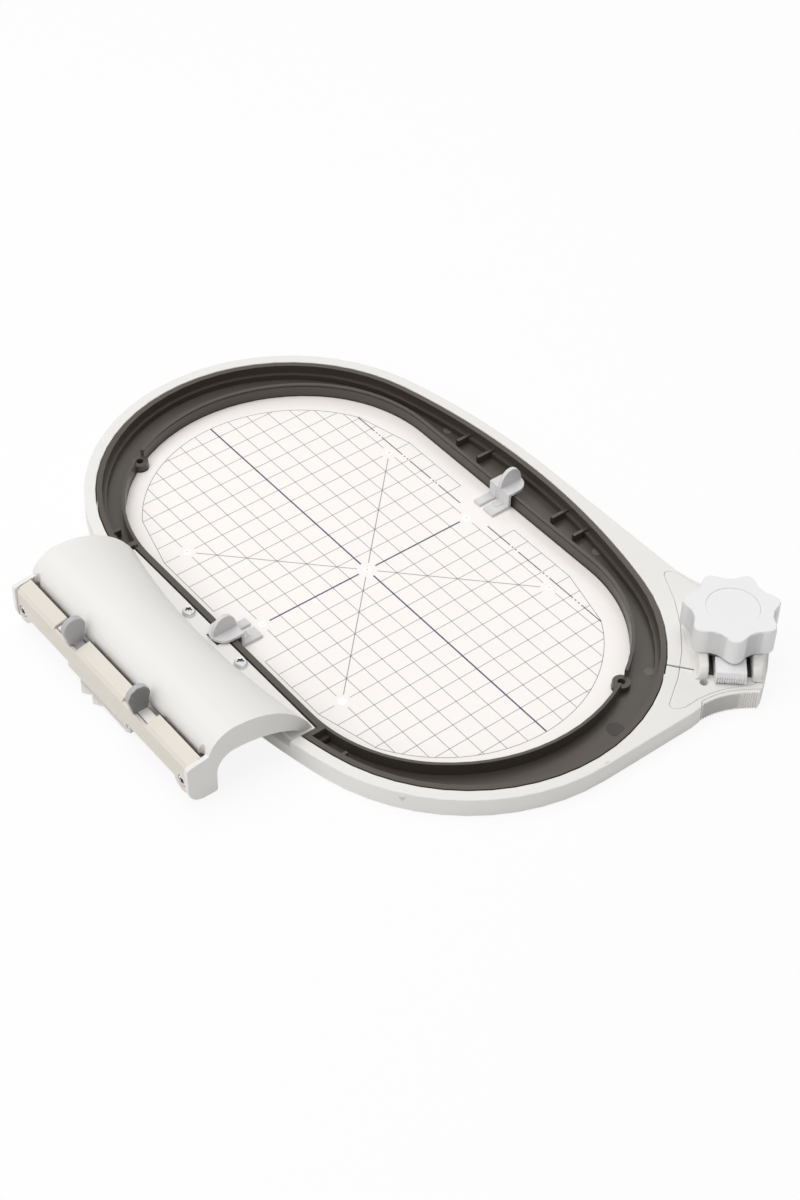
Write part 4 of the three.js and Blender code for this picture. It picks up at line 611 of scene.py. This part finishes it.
def make_painted_shadow_strips():
    """Dark slabs in the gaps where two pieces meet: painted shade for the shadow deep inside them."""
    bm = bmesh.new()
    for span in RAIL_SHADOW_STRIP_SPANS:
        slab(bm, HOOP_FRAME, *zip(RAIL_SHADOW_STRIP_X, span, RAIL_SHADOW_STRIP_Z))
    for side in (-1, 1):
        across = sorted(side * u for u in WELL_U)
        slab(bm, CLAMP_FRAME, *zip(across, WELL_V, WELL_Z))
    along = SPLIT_BEND - SPLIT_START
    lean = Matrix.Rotation(math.atan2(along.y, along.x), 4, "Z")
    place = CLAMP_FRAME @ Matrix.Translation(SPLIT_START.to_3d() * MM) @ lean
    slab(bm, place, *zip((0, along.length), (-SPLIT_HALF, SPLIT_HALF), SPLIT_Z))
    finished("painted_shadow_strips", bm, [SHADE_AND_DARK_MARK_NYLON], "hoop_frame")


# The draw bar's ribs, in millimetres of the clamp's frame
BAR_RIBS = 13
BAR_HALF = 6.8
BAR_FRONT = -27.4
BAR_SLANT = Vector((1.2, 2.4))
BAR_RIB_SHARE = 0.5
BAR_RIB_RISE = 0.3


def make_bar_ribs():
    """The ribs of the draw bar's front, carried on over the slant above it."""
    bar_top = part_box("draw_bar")[1][2] / MM
    pitch = 2 * BAR_HALF / BAR_RIBS
    lean = Matrix.Rotation(math.atan2(BAR_SLANT.y, BAR_SLANT.x), 4, "X")
    half = Vector((BAR_RIB_SHARE * pitch, BAR_SLANT.length, 2 * BAR_RIB_RISE)) / 2
    bm = bmesh.new()
    for i in range(BAR_RIBS):
        u = -BAR_HALF + (i + 0.5) * pitch
        middle = Vector((u, BAR_FRONT + BAR_SLANT.x / 2, bar_top - BAR_SLANT.y / 2))
        slab(bm, CLAMP_FRAME @ Matrix.Translation(middle * MM) @ lean, -half, half)
    finished("draw_bar_ribs", bm, [KNOB_ABS], "draw_slide")


# Ejector marks in the channel of the dark ring: x, y and radius in millimetres, and whether dark; and the
# profile of their rim, inwards from the radius and up from the floor
EJECTOR_MARKS = [
    (57.1, -128.2, 2.5, 0), (91.0, -55.5, 2.4, 0), (91.0, 55.5, 2.4, 0), (21.6, -144.9, 4.0, 1),
]
EJECTOR_PROFILE = [(0, -0.3), (0, 0.08), (0.15, 0.16), (0.5, 0.1)]
CHANNEL_FLOOR = 2.6


def make_ejector_marks():
    """Round marks that the mould leaves in the channel's floor."""
    bm = bmesh.new()
    for x, y, radius, shade in EJECTOR_MARKS:
        rings = [(radius - inset, height, 0) for inset, height in EJECTOR_PROFILE]
        turned(bm, rings, Matrix.Translation(hoop_point(x, y, CHANNEL_FLOOR)), shade)
    finished("ring_ejector_marks", bm, [MARK_NYLON, SHADE_AND_DARK_MARK_NYLON], "inner_hoop")


# Index marks of the outer ring, in millimetres: the dash, and the arrow by how far it lies along its way
INDEX_DASH_PLACE = (0.8, -161.5, 10.0)
INDEX_DASH_SIZE = (2.6, 0.5, 0.12)
INDEX_ARROW_CENTRE = (0, -64.9, 6.6)
INDEX_ARROW_WAY = Vector((-0.806, -0.591, 0))
INDEX_ARROW_REACH = 97.9
INDEX_ARROW_FOOT = 1.9
INDEX_ARROW_TOP = 1.6
INDEX_ARROW_THICK = 0.3


def make_index_marks():
    """A dash on the ring's top at the near end, and an arrow on its wall, both painted grey as shade."""
    bm = bmesh.new()
    size = Matrix.Diagonal([side * MM for side in INDEX_DASH_SIZE] + [1])
    dash = Matrix.Translation(hoop_point(*INDEX_DASH_PLACE)) @ size
    bmesh.ops.create_cube(bm, size=1, matrix=dash)
    wall = hoop_point(*INDEX_ARROW_CENTRE) + INDEX_ARROW_WAY * INDEX_ARROW_REACH * MM
    upright = INDEX_ARROW_WAY.to_track_quat("Z", "Y").to_matrix().to_4x4()
    turn = upright @ Matrix.Rotation(math.pi, 4, "Z")
    bmesh.ops.create_cone(bm, cap_ends=True, segments=3, radius1=INDEX_ARROW_FOOT * MM,
                          radius2=INDEX_ARROW_TOP * MM, depth=INDEX_ARROW_THICK * MM,
                          matrix=Matrix.Translation(wall) @ turn)
    finished("ring_index_marks", bm, [INDEX_SHADE_ABS], "hoop_frame")


# The clips' frames and the fill of the slit behind each finger, in millimetres
FRAME_LONG = 4.6
FRAME_WIDE = 3.4
FRAME_LINE = 0.35
FRAME_RISE = 0.2
FRAME_FROM_END = 7.3
FRAME_Y = -2.1
FINGER_TOP = 3.6
SLIT_Y = (0.0, 2.4)
SLIT_Z = (2.1, 7.8)
SLIT_FILL = (10.1, 11.3)
HALF_UNIT = 0.5


def make_clip_frame(side, end_name):
    """The raised frame on the wide finger of a template clip, and the filled slit at its foot."""
    low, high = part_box("template_clip_" + end_name)
    finger_end = high[0] if side < 0 else low[0]
    centre = hoop_point(0, FRAME_Y, FINGER_TOP)
    centre.x = finger_end + side * FRAME_FROM_END * MM
    bm = bmesh.new()
    size = Matrix.Diagonal((FRAME_LONG * MM, FRAME_WIDE * MM, 1, 1))
    bmesh.ops.create_grid(bm, x_segments=1, y_segments=1, size=HALF_UNIT,
                          matrix=Matrix.Translation(centre) @ size)
    inner = list(bm.faces)
    bmesh.ops.inset_individual(bm, faces=inner, thickness=FRAME_LINE * MM)
    bmesh.ops.delete(bm, geom=inner, context="FACES")
    raised = bmesh.ops.extrude_face_region(bm, geom=list(bm.faces))["geom"]
    lifted = [item for item in raised if isinstance(item, bmesh.types.BMVert)]
    bmesh.ops.translate(bm, verts=lifted, vec=(0, 0, FRAME_RISE * MM))
    bmesh.ops.recalc_face_normals(bm, faces=bm.faces)
    behind = sorted((finger_end - HOOP_CENTRE.x) / MM + side * reach for reach in SLIT_FILL)
    slab(bm, HOOP_FRAME, *zip(behind, SLIT_Y, SLIT_Z))
    finished("template_clip_" + end_name + "_frame", bm, [GREY_ABS], "template")


# The levers' grips, in millimetres: a round head over a straight foot, on the fin's outer side
GRIP_PITCH = 0.9
GRIP_CELLS = 16
GRIP_RISE = 0.3
GRIP_SKIN = 0.2
GRIP_SHARP = 15
GRIP_RADIUS = 4.6
GRIP_HALF = 3.5
GRIP_LOW = 25.6
LEVER_Y = 25.3
LEVER_SHIFT = -1.1
FIN_X = -145.6
FIN_CENTRE_Z = 30.0
FIN_HALF = 1.5


def make_lever_grip(side, end_name):
    """Fine pyramids on the side of a lever that a finger pushes."""
    face_y = side * LEVER_Y + LEVER_SHIFT + side * FIN_HALF
    centre = hoop_point(FIN_X, face_y, FIN_CENTRE_Z)
    half = GRIP_PITCH * GRIP_CELLS / 2
    upright = Matrix.Rotation(side * -math.pi / 2, 4, "X") @ Matrix.Rotation(math.pi / 4, 4, "Z")
    bm = bmesh.new()
    bmesh.ops.create_grid(bm, x_segments=GRIP_CELLS, y_segments=GRIP_CELLS, size=half * MM,
                          matrix=Matrix.Translation(centre) @ upright)
    outside = []
    for face in bm.faces:
        offset = (face.calc_center_median() - centre) / MM
        round_part = offset.z > 0 and offset.length < GRIP_RADIUS
        straight_part = offset.z <= 0 and abs(offset.x) < GRIP_HALF and offset.z > GRIP_LOW - FIN_CENTRE_Z
        if not round_part and not straight_part:
            outside.append(face)
    bmesh.ops.delete(bm, geom=outside, context="FACES")
    tips = bmesh.ops.poke(bm, faces=list(bm.faces))["verts"]
    bmesh.ops.translate(bm, verts=tips, vec=(0, side * GRIP_RISE * MM, 0))
    bmesh.ops.solidify(bm, geom=list(bm.faces), thickness=GRIP_SKIN * MM)
    bmesh.ops.recalc_face_normals(bm, faces=bm.faces)
    finished("release_lever_" + end_name + "_grip", bm, [SHADED_GRIP_ABS], end_name + "_lever",
             sharp=GRIP_SHARP)


def make_lever_spring(side, end_name):
    """A lever's return spring, on no body: where its ends lie is worked out but not used."""
    node = "lever_spring_" + end_name
    low, high = corners(node)
    spring = finished(node + "_coil", node_copy(node), [ZINC_STEEL], None)
    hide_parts(node)
    start = (low + high) / 2
    end = start.copy()
    start.y, end.y = (high.y, low.y) if side < 0 else (low.y, high.y)
    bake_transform(spring)


make_painted_shadow_strips()
make_bar_ribs()
make_ejector_marks()
make_index_marks()
for side_sign, end_name in ((-1, "left"), (1, "right")):
    make_clip_frame(side_sign, end_name)
for side_sign, end_name in ((-1, "near"), (1, "far")):
    make_lever_grip(side_sign, end_name)
    make_lever_spring(side_sign, end_name)


# Print on the template, in millimetres from the field's middle. The field has straight sides, slanted
# corners and arched ends, and its grid leaves a bay free for each clip.
FIELD_SHIFT = -2.75
FIELD_HALF = 72.7
FIELD_STRAIGHT = 60.0
FIELD_SLANT_X = 64.8
FIELD_SLANT_Y = 90.5
FIELD_END = 127.5
FIELD_RADIUS = (FIELD_SLANT_X ** 2 + (FIELD_END - FIELD_SLANT_Y) ** 2) / (2 * (FIELD_END - FIELD_SLANT_Y))
FIELD_ARC_Y = FIELD_END - FIELD_RADIUS
ARC_STEPS = 48
GRID = 10.0
GRID_COLUMNS = 6
GRID_ROWS = 12
CLIP_BAY = 20.0
# Marking holes, and how far the lines keep from them
MARK_REACH = 60
MARKS = [(0, 0)] + [(x, y) for x in (-MARK_REACH, MARK_REACH) for y in (-MARK_REACH, 0, MARK_REACH)]
CENTRE_HALO = 4.8
MARK_HALO = 4.2
# The ink's thickness, the widths of its lines and the shortest stroke that is printed
INK_THICK = 0.025
GRID_WIDTH = 0.3
CENTRE_WIDTH = 0.75
DIAGONAL_WIDTH = 0.42
DASH_WIDTH = 0.55
STROKE_LEAST = 0.5


def field_half_width(y):
    """How far the field reaches along X at this Y."""
    y = abs(y)
    if y <= FIELD_STRAIGHT:
        return FIELD_HALF
    if y <= FIELD_SLANT_Y:
        share = (y - FIELD_STRAIGHT) / (FIELD_SLANT_Y - FIELD_STRAIGHT)
        return FIELD_HALF + share * (FIELD_SLANT_X - FIELD_HALF)
    return math.sqrt(max(FIELD_RADIUS ** 2 - (y - FIELD_ARC_Y) ** 2, 0))


def field_half_length(x):
    """How far the field reaches along Y at this X, between the slanted corners."""
    return FIELD_ARC_Y + math.sqrt(FIELD_RADIUS ** 2 - x ** 2)


def strip(bm, start, end, width):
    """One printed stroke between two points of the field, in millimetres."""
    a, b = Vector(start), Vector(end)
    along = b - a
    middle = hoop_point(*((a + b) / 2 + Vector((FIELD_SHIFT, 0))), 0)
    middle.z = PRINT_HEIGHT + INK_THICK * MM / 2
    turn = Matrix.Rotation(math.atan2(along.y, along.x), 4, "Z")
    size = Matrix.Diagonal((along.length * MM, width * MM, INK_THICK * MM, 1))
    bmesh.ops.create_cube(bm, size=1, matrix=Matrix.Translation(middle) @ turn @ size)


def stroke(bm, start, end, width):
    """A stroke that stops short of every marking hole that it passes."""
    a, b = Vector(start), Vector(end)
    length = (b - a).length
    along = (b - a) / length
    gaps = []
    for mark in MARKS:
        halo = CENTRE_HALO if mark == (0, 0) else MARK_HALO
        offset = Vector(mark) - a
        near = offset.dot(along)
        miss = (offset - along * near).length
        if miss < halo:
            reach = math.sqrt(halo ** 2 - miss ** 2)
            gaps.append((near - reach, near + reach))
    done = 0.0
    for low, high in sorted(gaps):
        if low > done + STROKE_LEAST:
            strip(bm, a + along * done, a + along * min(low, length), width)
        done = max(done, high)
    if done < length - STROKE_LEAST:
        strip(bm, a + along * done, b, width)


def printed(name, bm, ink):
    """Finishes one colour of the print, which goes with the template."""
    finished(name, bm, [ink], "template")


def print_grid():
    """The squares, and the field's outline round them."""
    bm = bmesh.new()
    for step in range(-GRID_COLUMNS, GRID_COLUMNS + 1):
        x = step * GRID
        reach = field_half_length(x)
        if step != 0:
            stroke(bm, (x, -reach), (x, reach), GRID_WIDTH)
    for step in range(-GRID_ROWS, GRID_ROWS + 1):
        y = step * GRID
        reach = field_half_width(y) if abs(y) >= CLIP_BAY else MARK_REACH
        if step != 0:
            stroke(bm, (-reach, y), (reach, y), GRID_WIDTH)
    for side_x in (-1, 1):
        for side_y in (-1, 1):
            corner = (side_x * FIELD_HALF, side_y * FIELD_STRAIGHT)
            strip(bm, (side_x * FIELD_HALF, side_y * CLIP_BAY), corner, GRID_WIDTH)
            strip(bm, corner, (side_x * FIELD_SLANT_X, side_y * FIELD_SLANT_Y), GRID_WIDTH)
    lean = math.asin(FIELD_SLANT_X / FIELD_RADIUS)
    for side in (-1, 1):
        points = []
        for i in range(ARC_STEPS + 1):
            angle = lean * (2 * i / ARC_STEPS - 1)
            y = side * (FIELD_ARC_Y + FIELD_RADIUS * math.cos(angle))
            points.append((FIELD_RADIUS * math.sin(angle), y))
        for a, b in zip(points, points[1:]):
            strip(bm, a, b, GRID_WIDTH)
    printed("template_grid_print", bm, INK_GREY)


def print_centre_lines():
    """The two heavy lines through the middle."""
    bm = bmesh.new()
    stroke(bm, (-MARK_REACH, 0), (MARK_REACH, 0), CENTRE_WIDTH)
    stroke(bm, (0, -FIELD_END), (0, FIELD_END), CENTRE_WIDTH)
    printed("template_centre_print", bm, INK_VIOLET)


def print_diagonals():
    """The two lines between the outer marking holes."""
    bm = bmesh.new()
    for side in (-1, 1):
        stroke(bm, (-MARK_REACH, -MARK_REACH * side), (MARK_REACH, MARK_REACH * side), DIAGONAL_WIDTH)
    printed("template_diagonal_print", bm, INK_FAINT)


DASH_X = 64.4
DASH_START = 10.4
DASH_LENGTH = 16.5
DASH_GAP = 1.3
DOT_LENGTH = 1.0


def print_dashes():
    """A dash, dot, dot line along the field's right side."""
    bm = bmesh.new()
    end = field_half_length(DASH_X)
    for side in (-1, 1):
        y = DASH_START
        while y < end:
            for length in (DASH_LENGTH, DOT_LENGTH, DOT_LENGTH):
                stop = min(y + length, end)
                if stop > y:
                    strip(bm, (DASH_X, side * y), (DASH_X, side * stop), DASH_WIDTH)
                y = stop + DASH_GAP
    printed("template_dash_print", bm, INK_BLACK)


HOLE_RADIUS = 0.5
HOLE_RIM = 1.9


def print_hole_rims():
    """A white ring round every marking hole."""
    bm = bmesh.new()
    for x, y in MARKS:
        place = hoop_point(x + FIELD_SHIFT, y, 0)
        place.z = PRINT_HEIGHT
        low = loop(bm, HOLE_RIM, INK_THICK, 0)
        high = loop(bm, HOLE_RADIUS, INK_THICK / 2, 0)
        ring = bmesh.ops.bridge_loops(bm, edges=low + high)["faces"]
        verts = list({vert for face in ring for vert in face.verts})
        bmesh.ops.translate(bm, verts=verts, vec=place)
    bmesh.ops.recalc_face_normals(bm, faces=bm.faces)
    bmesh.ops.solidify(bm, geom=list(bm.faces), thickness=INK_THICK * MM / 2)
    printed("template_hole_print", bm, INK_WHITE)


print_grid()
print_hole_rims()
print_centre_lines()
print_diagonals()
print_dashes()


# Stage: a pale floor, soft light from above and behind, and a bright surround. Lengths are in metres.
FLOOR_SIZE = 6.0
FLOOR_DROP = 0.0004
FLOOR_GLOW_SHARE = 0.88
PAPER_REFLECTS = 0.9
WHITE_SHADE = "#ffffff"
SURROUND_LIGHT = 0.4
SURROUND_SEEN = 1.0
# Each lamp's place, width and power in watts; all look at the middle of the hoop
LAMPS = {
    "top_softbox": ((-0.15, 0.35, 1.5), 1.5, 12.4),
    "left_softbox": ((-1.2, 0.1, 0.9), 1.2, 5.6),
    "front_softbox": ((-0.3, -1.2, 1.2), 1.5, 1.1),
    "right_softbox": ((1.2, 0.4, 0.8), 1.2, 2.5),
}


def seen_directly(tree):
    """One for rays that show the surround itself, its mirror image or what glass lets through."""
    path = add(tree, "ShaderNodeLightPath")
    first = add(tree, "ShaderNodeMath", {
        0: path.outputs["Is Camera Ray"], 1: path.outputs["Is Glossy Ray"],
    }, operation="MAXIMUM")
    either = add(tree, "ShaderNodeMath", {
        0: first.outputs[0], 1: path.outputs["Is Transmission Ray"],
    }, operation="MAXIMUM")
    return either.outputs[0]


def make_floor():
    """White paper that keeps the hoop's shadow and looks almost as bright as the surround."""
    material = bpy.data.materials.new("floor_white_paper")
    tree = cleared(material)
    paper = add(tree, "ShaderNodeBsdfDiffuse", {"Color": [PAPER_REFLECTS] * 3 + [1.0]})
    glow = add(tree, "ShaderNodeEmission", {"Color": linear(WHITE_SHADE), "Strength": SURROUND_SEEN})
    share = add(tree, "ShaderNodeMath", {0: seen_directly(tree), 1: FLOOR_GLOW_SHARE}, operation="MULTIPLY")
    mixed = add(tree, "ShaderNodeMixShader", {0: share.outputs[0], 1: paper.outputs[0], 2: glow.outputs[0]})
    add(tree, "ShaderNodeOutputMaterial", {"Surface": mixed.outputs[0]})
    bm = bmesh.new()
    bmesh.ops.create_grid(bm, x_segments=1, y_segments=1, size=FLOOR_SIZE / 2,
                          matrix=Matrix.Translation((0, 0, -FLOOR_DROP)))
    placed("floor", bm, [material])


def make_world():
    """An even surround: bright where it is seen, dimmer as light."""
    world = bpy.data.worlds.new("surround")
    bpy.context.scene.world = world
    tree = cleared(world)
    white = linear(WHITE_SHADE)
    dim = add(tree, "ShaderNodeBackground", {"Color": white, "Strength": SURROUND_LIGHT})
    bright = add(tree, "ShaderNodeBackground", {"Color": white, "Strength": SURROUND_SEEN})
    seen = seen_directly(tree)
    mixed = add(tree, "ShaderNodeMixShader", {0: seen, 1: dim.outputs[0], 2: bright.outputs[0]})
    add(tree, "ShaderNodeOutputWorld", {"Surface": mixed.outputs[0]})


def make_lamp(name, place, size, power):
    """A round softbox that looks at the middle of the hoop."""
    light = bpy.data.lights.new(name, "AREA")
    light.shape = "DISK"
    light.size = size
    light.energy = power
    lamp = bpy.data.objects.new(name, light)
    lamp.location = place
    lamp.rotation_euler = (-Vector(place)).to_track_quat("-Z", "Y").to_euler()
    bpy.context.scene.collection.objects.link(lamp)


def make_camera():
    """The camera at the photograph's viewing angle."""
    data = bpy.data.cameras.new("camera")
    data.lens = CAMERA_LENS
    data.sensor_fit = "VERTICAL"
    data.sensor_height = SENSOR
    camera = bpy.data.objects.new("camera", data)
    camera.location = hoop_point(*CAMERA_PLACE)
    camera.rotation_euler = [math.radians(angle) for angle in CAMERA_TURN]
    bpy.context.scene.collection.objects.link(camera)
    bpy.context.scene.camera = camera


make_floor()
make_world()
for lamp_name, (lamp_place, lamp_size, lamp_power) in LAMPS.items():
    make_lamp(lamp_name, lamp_place, lamp_size, lamp_power)
make_camera()
bpy.context.scene.view_settings.view_transform = "Standard"
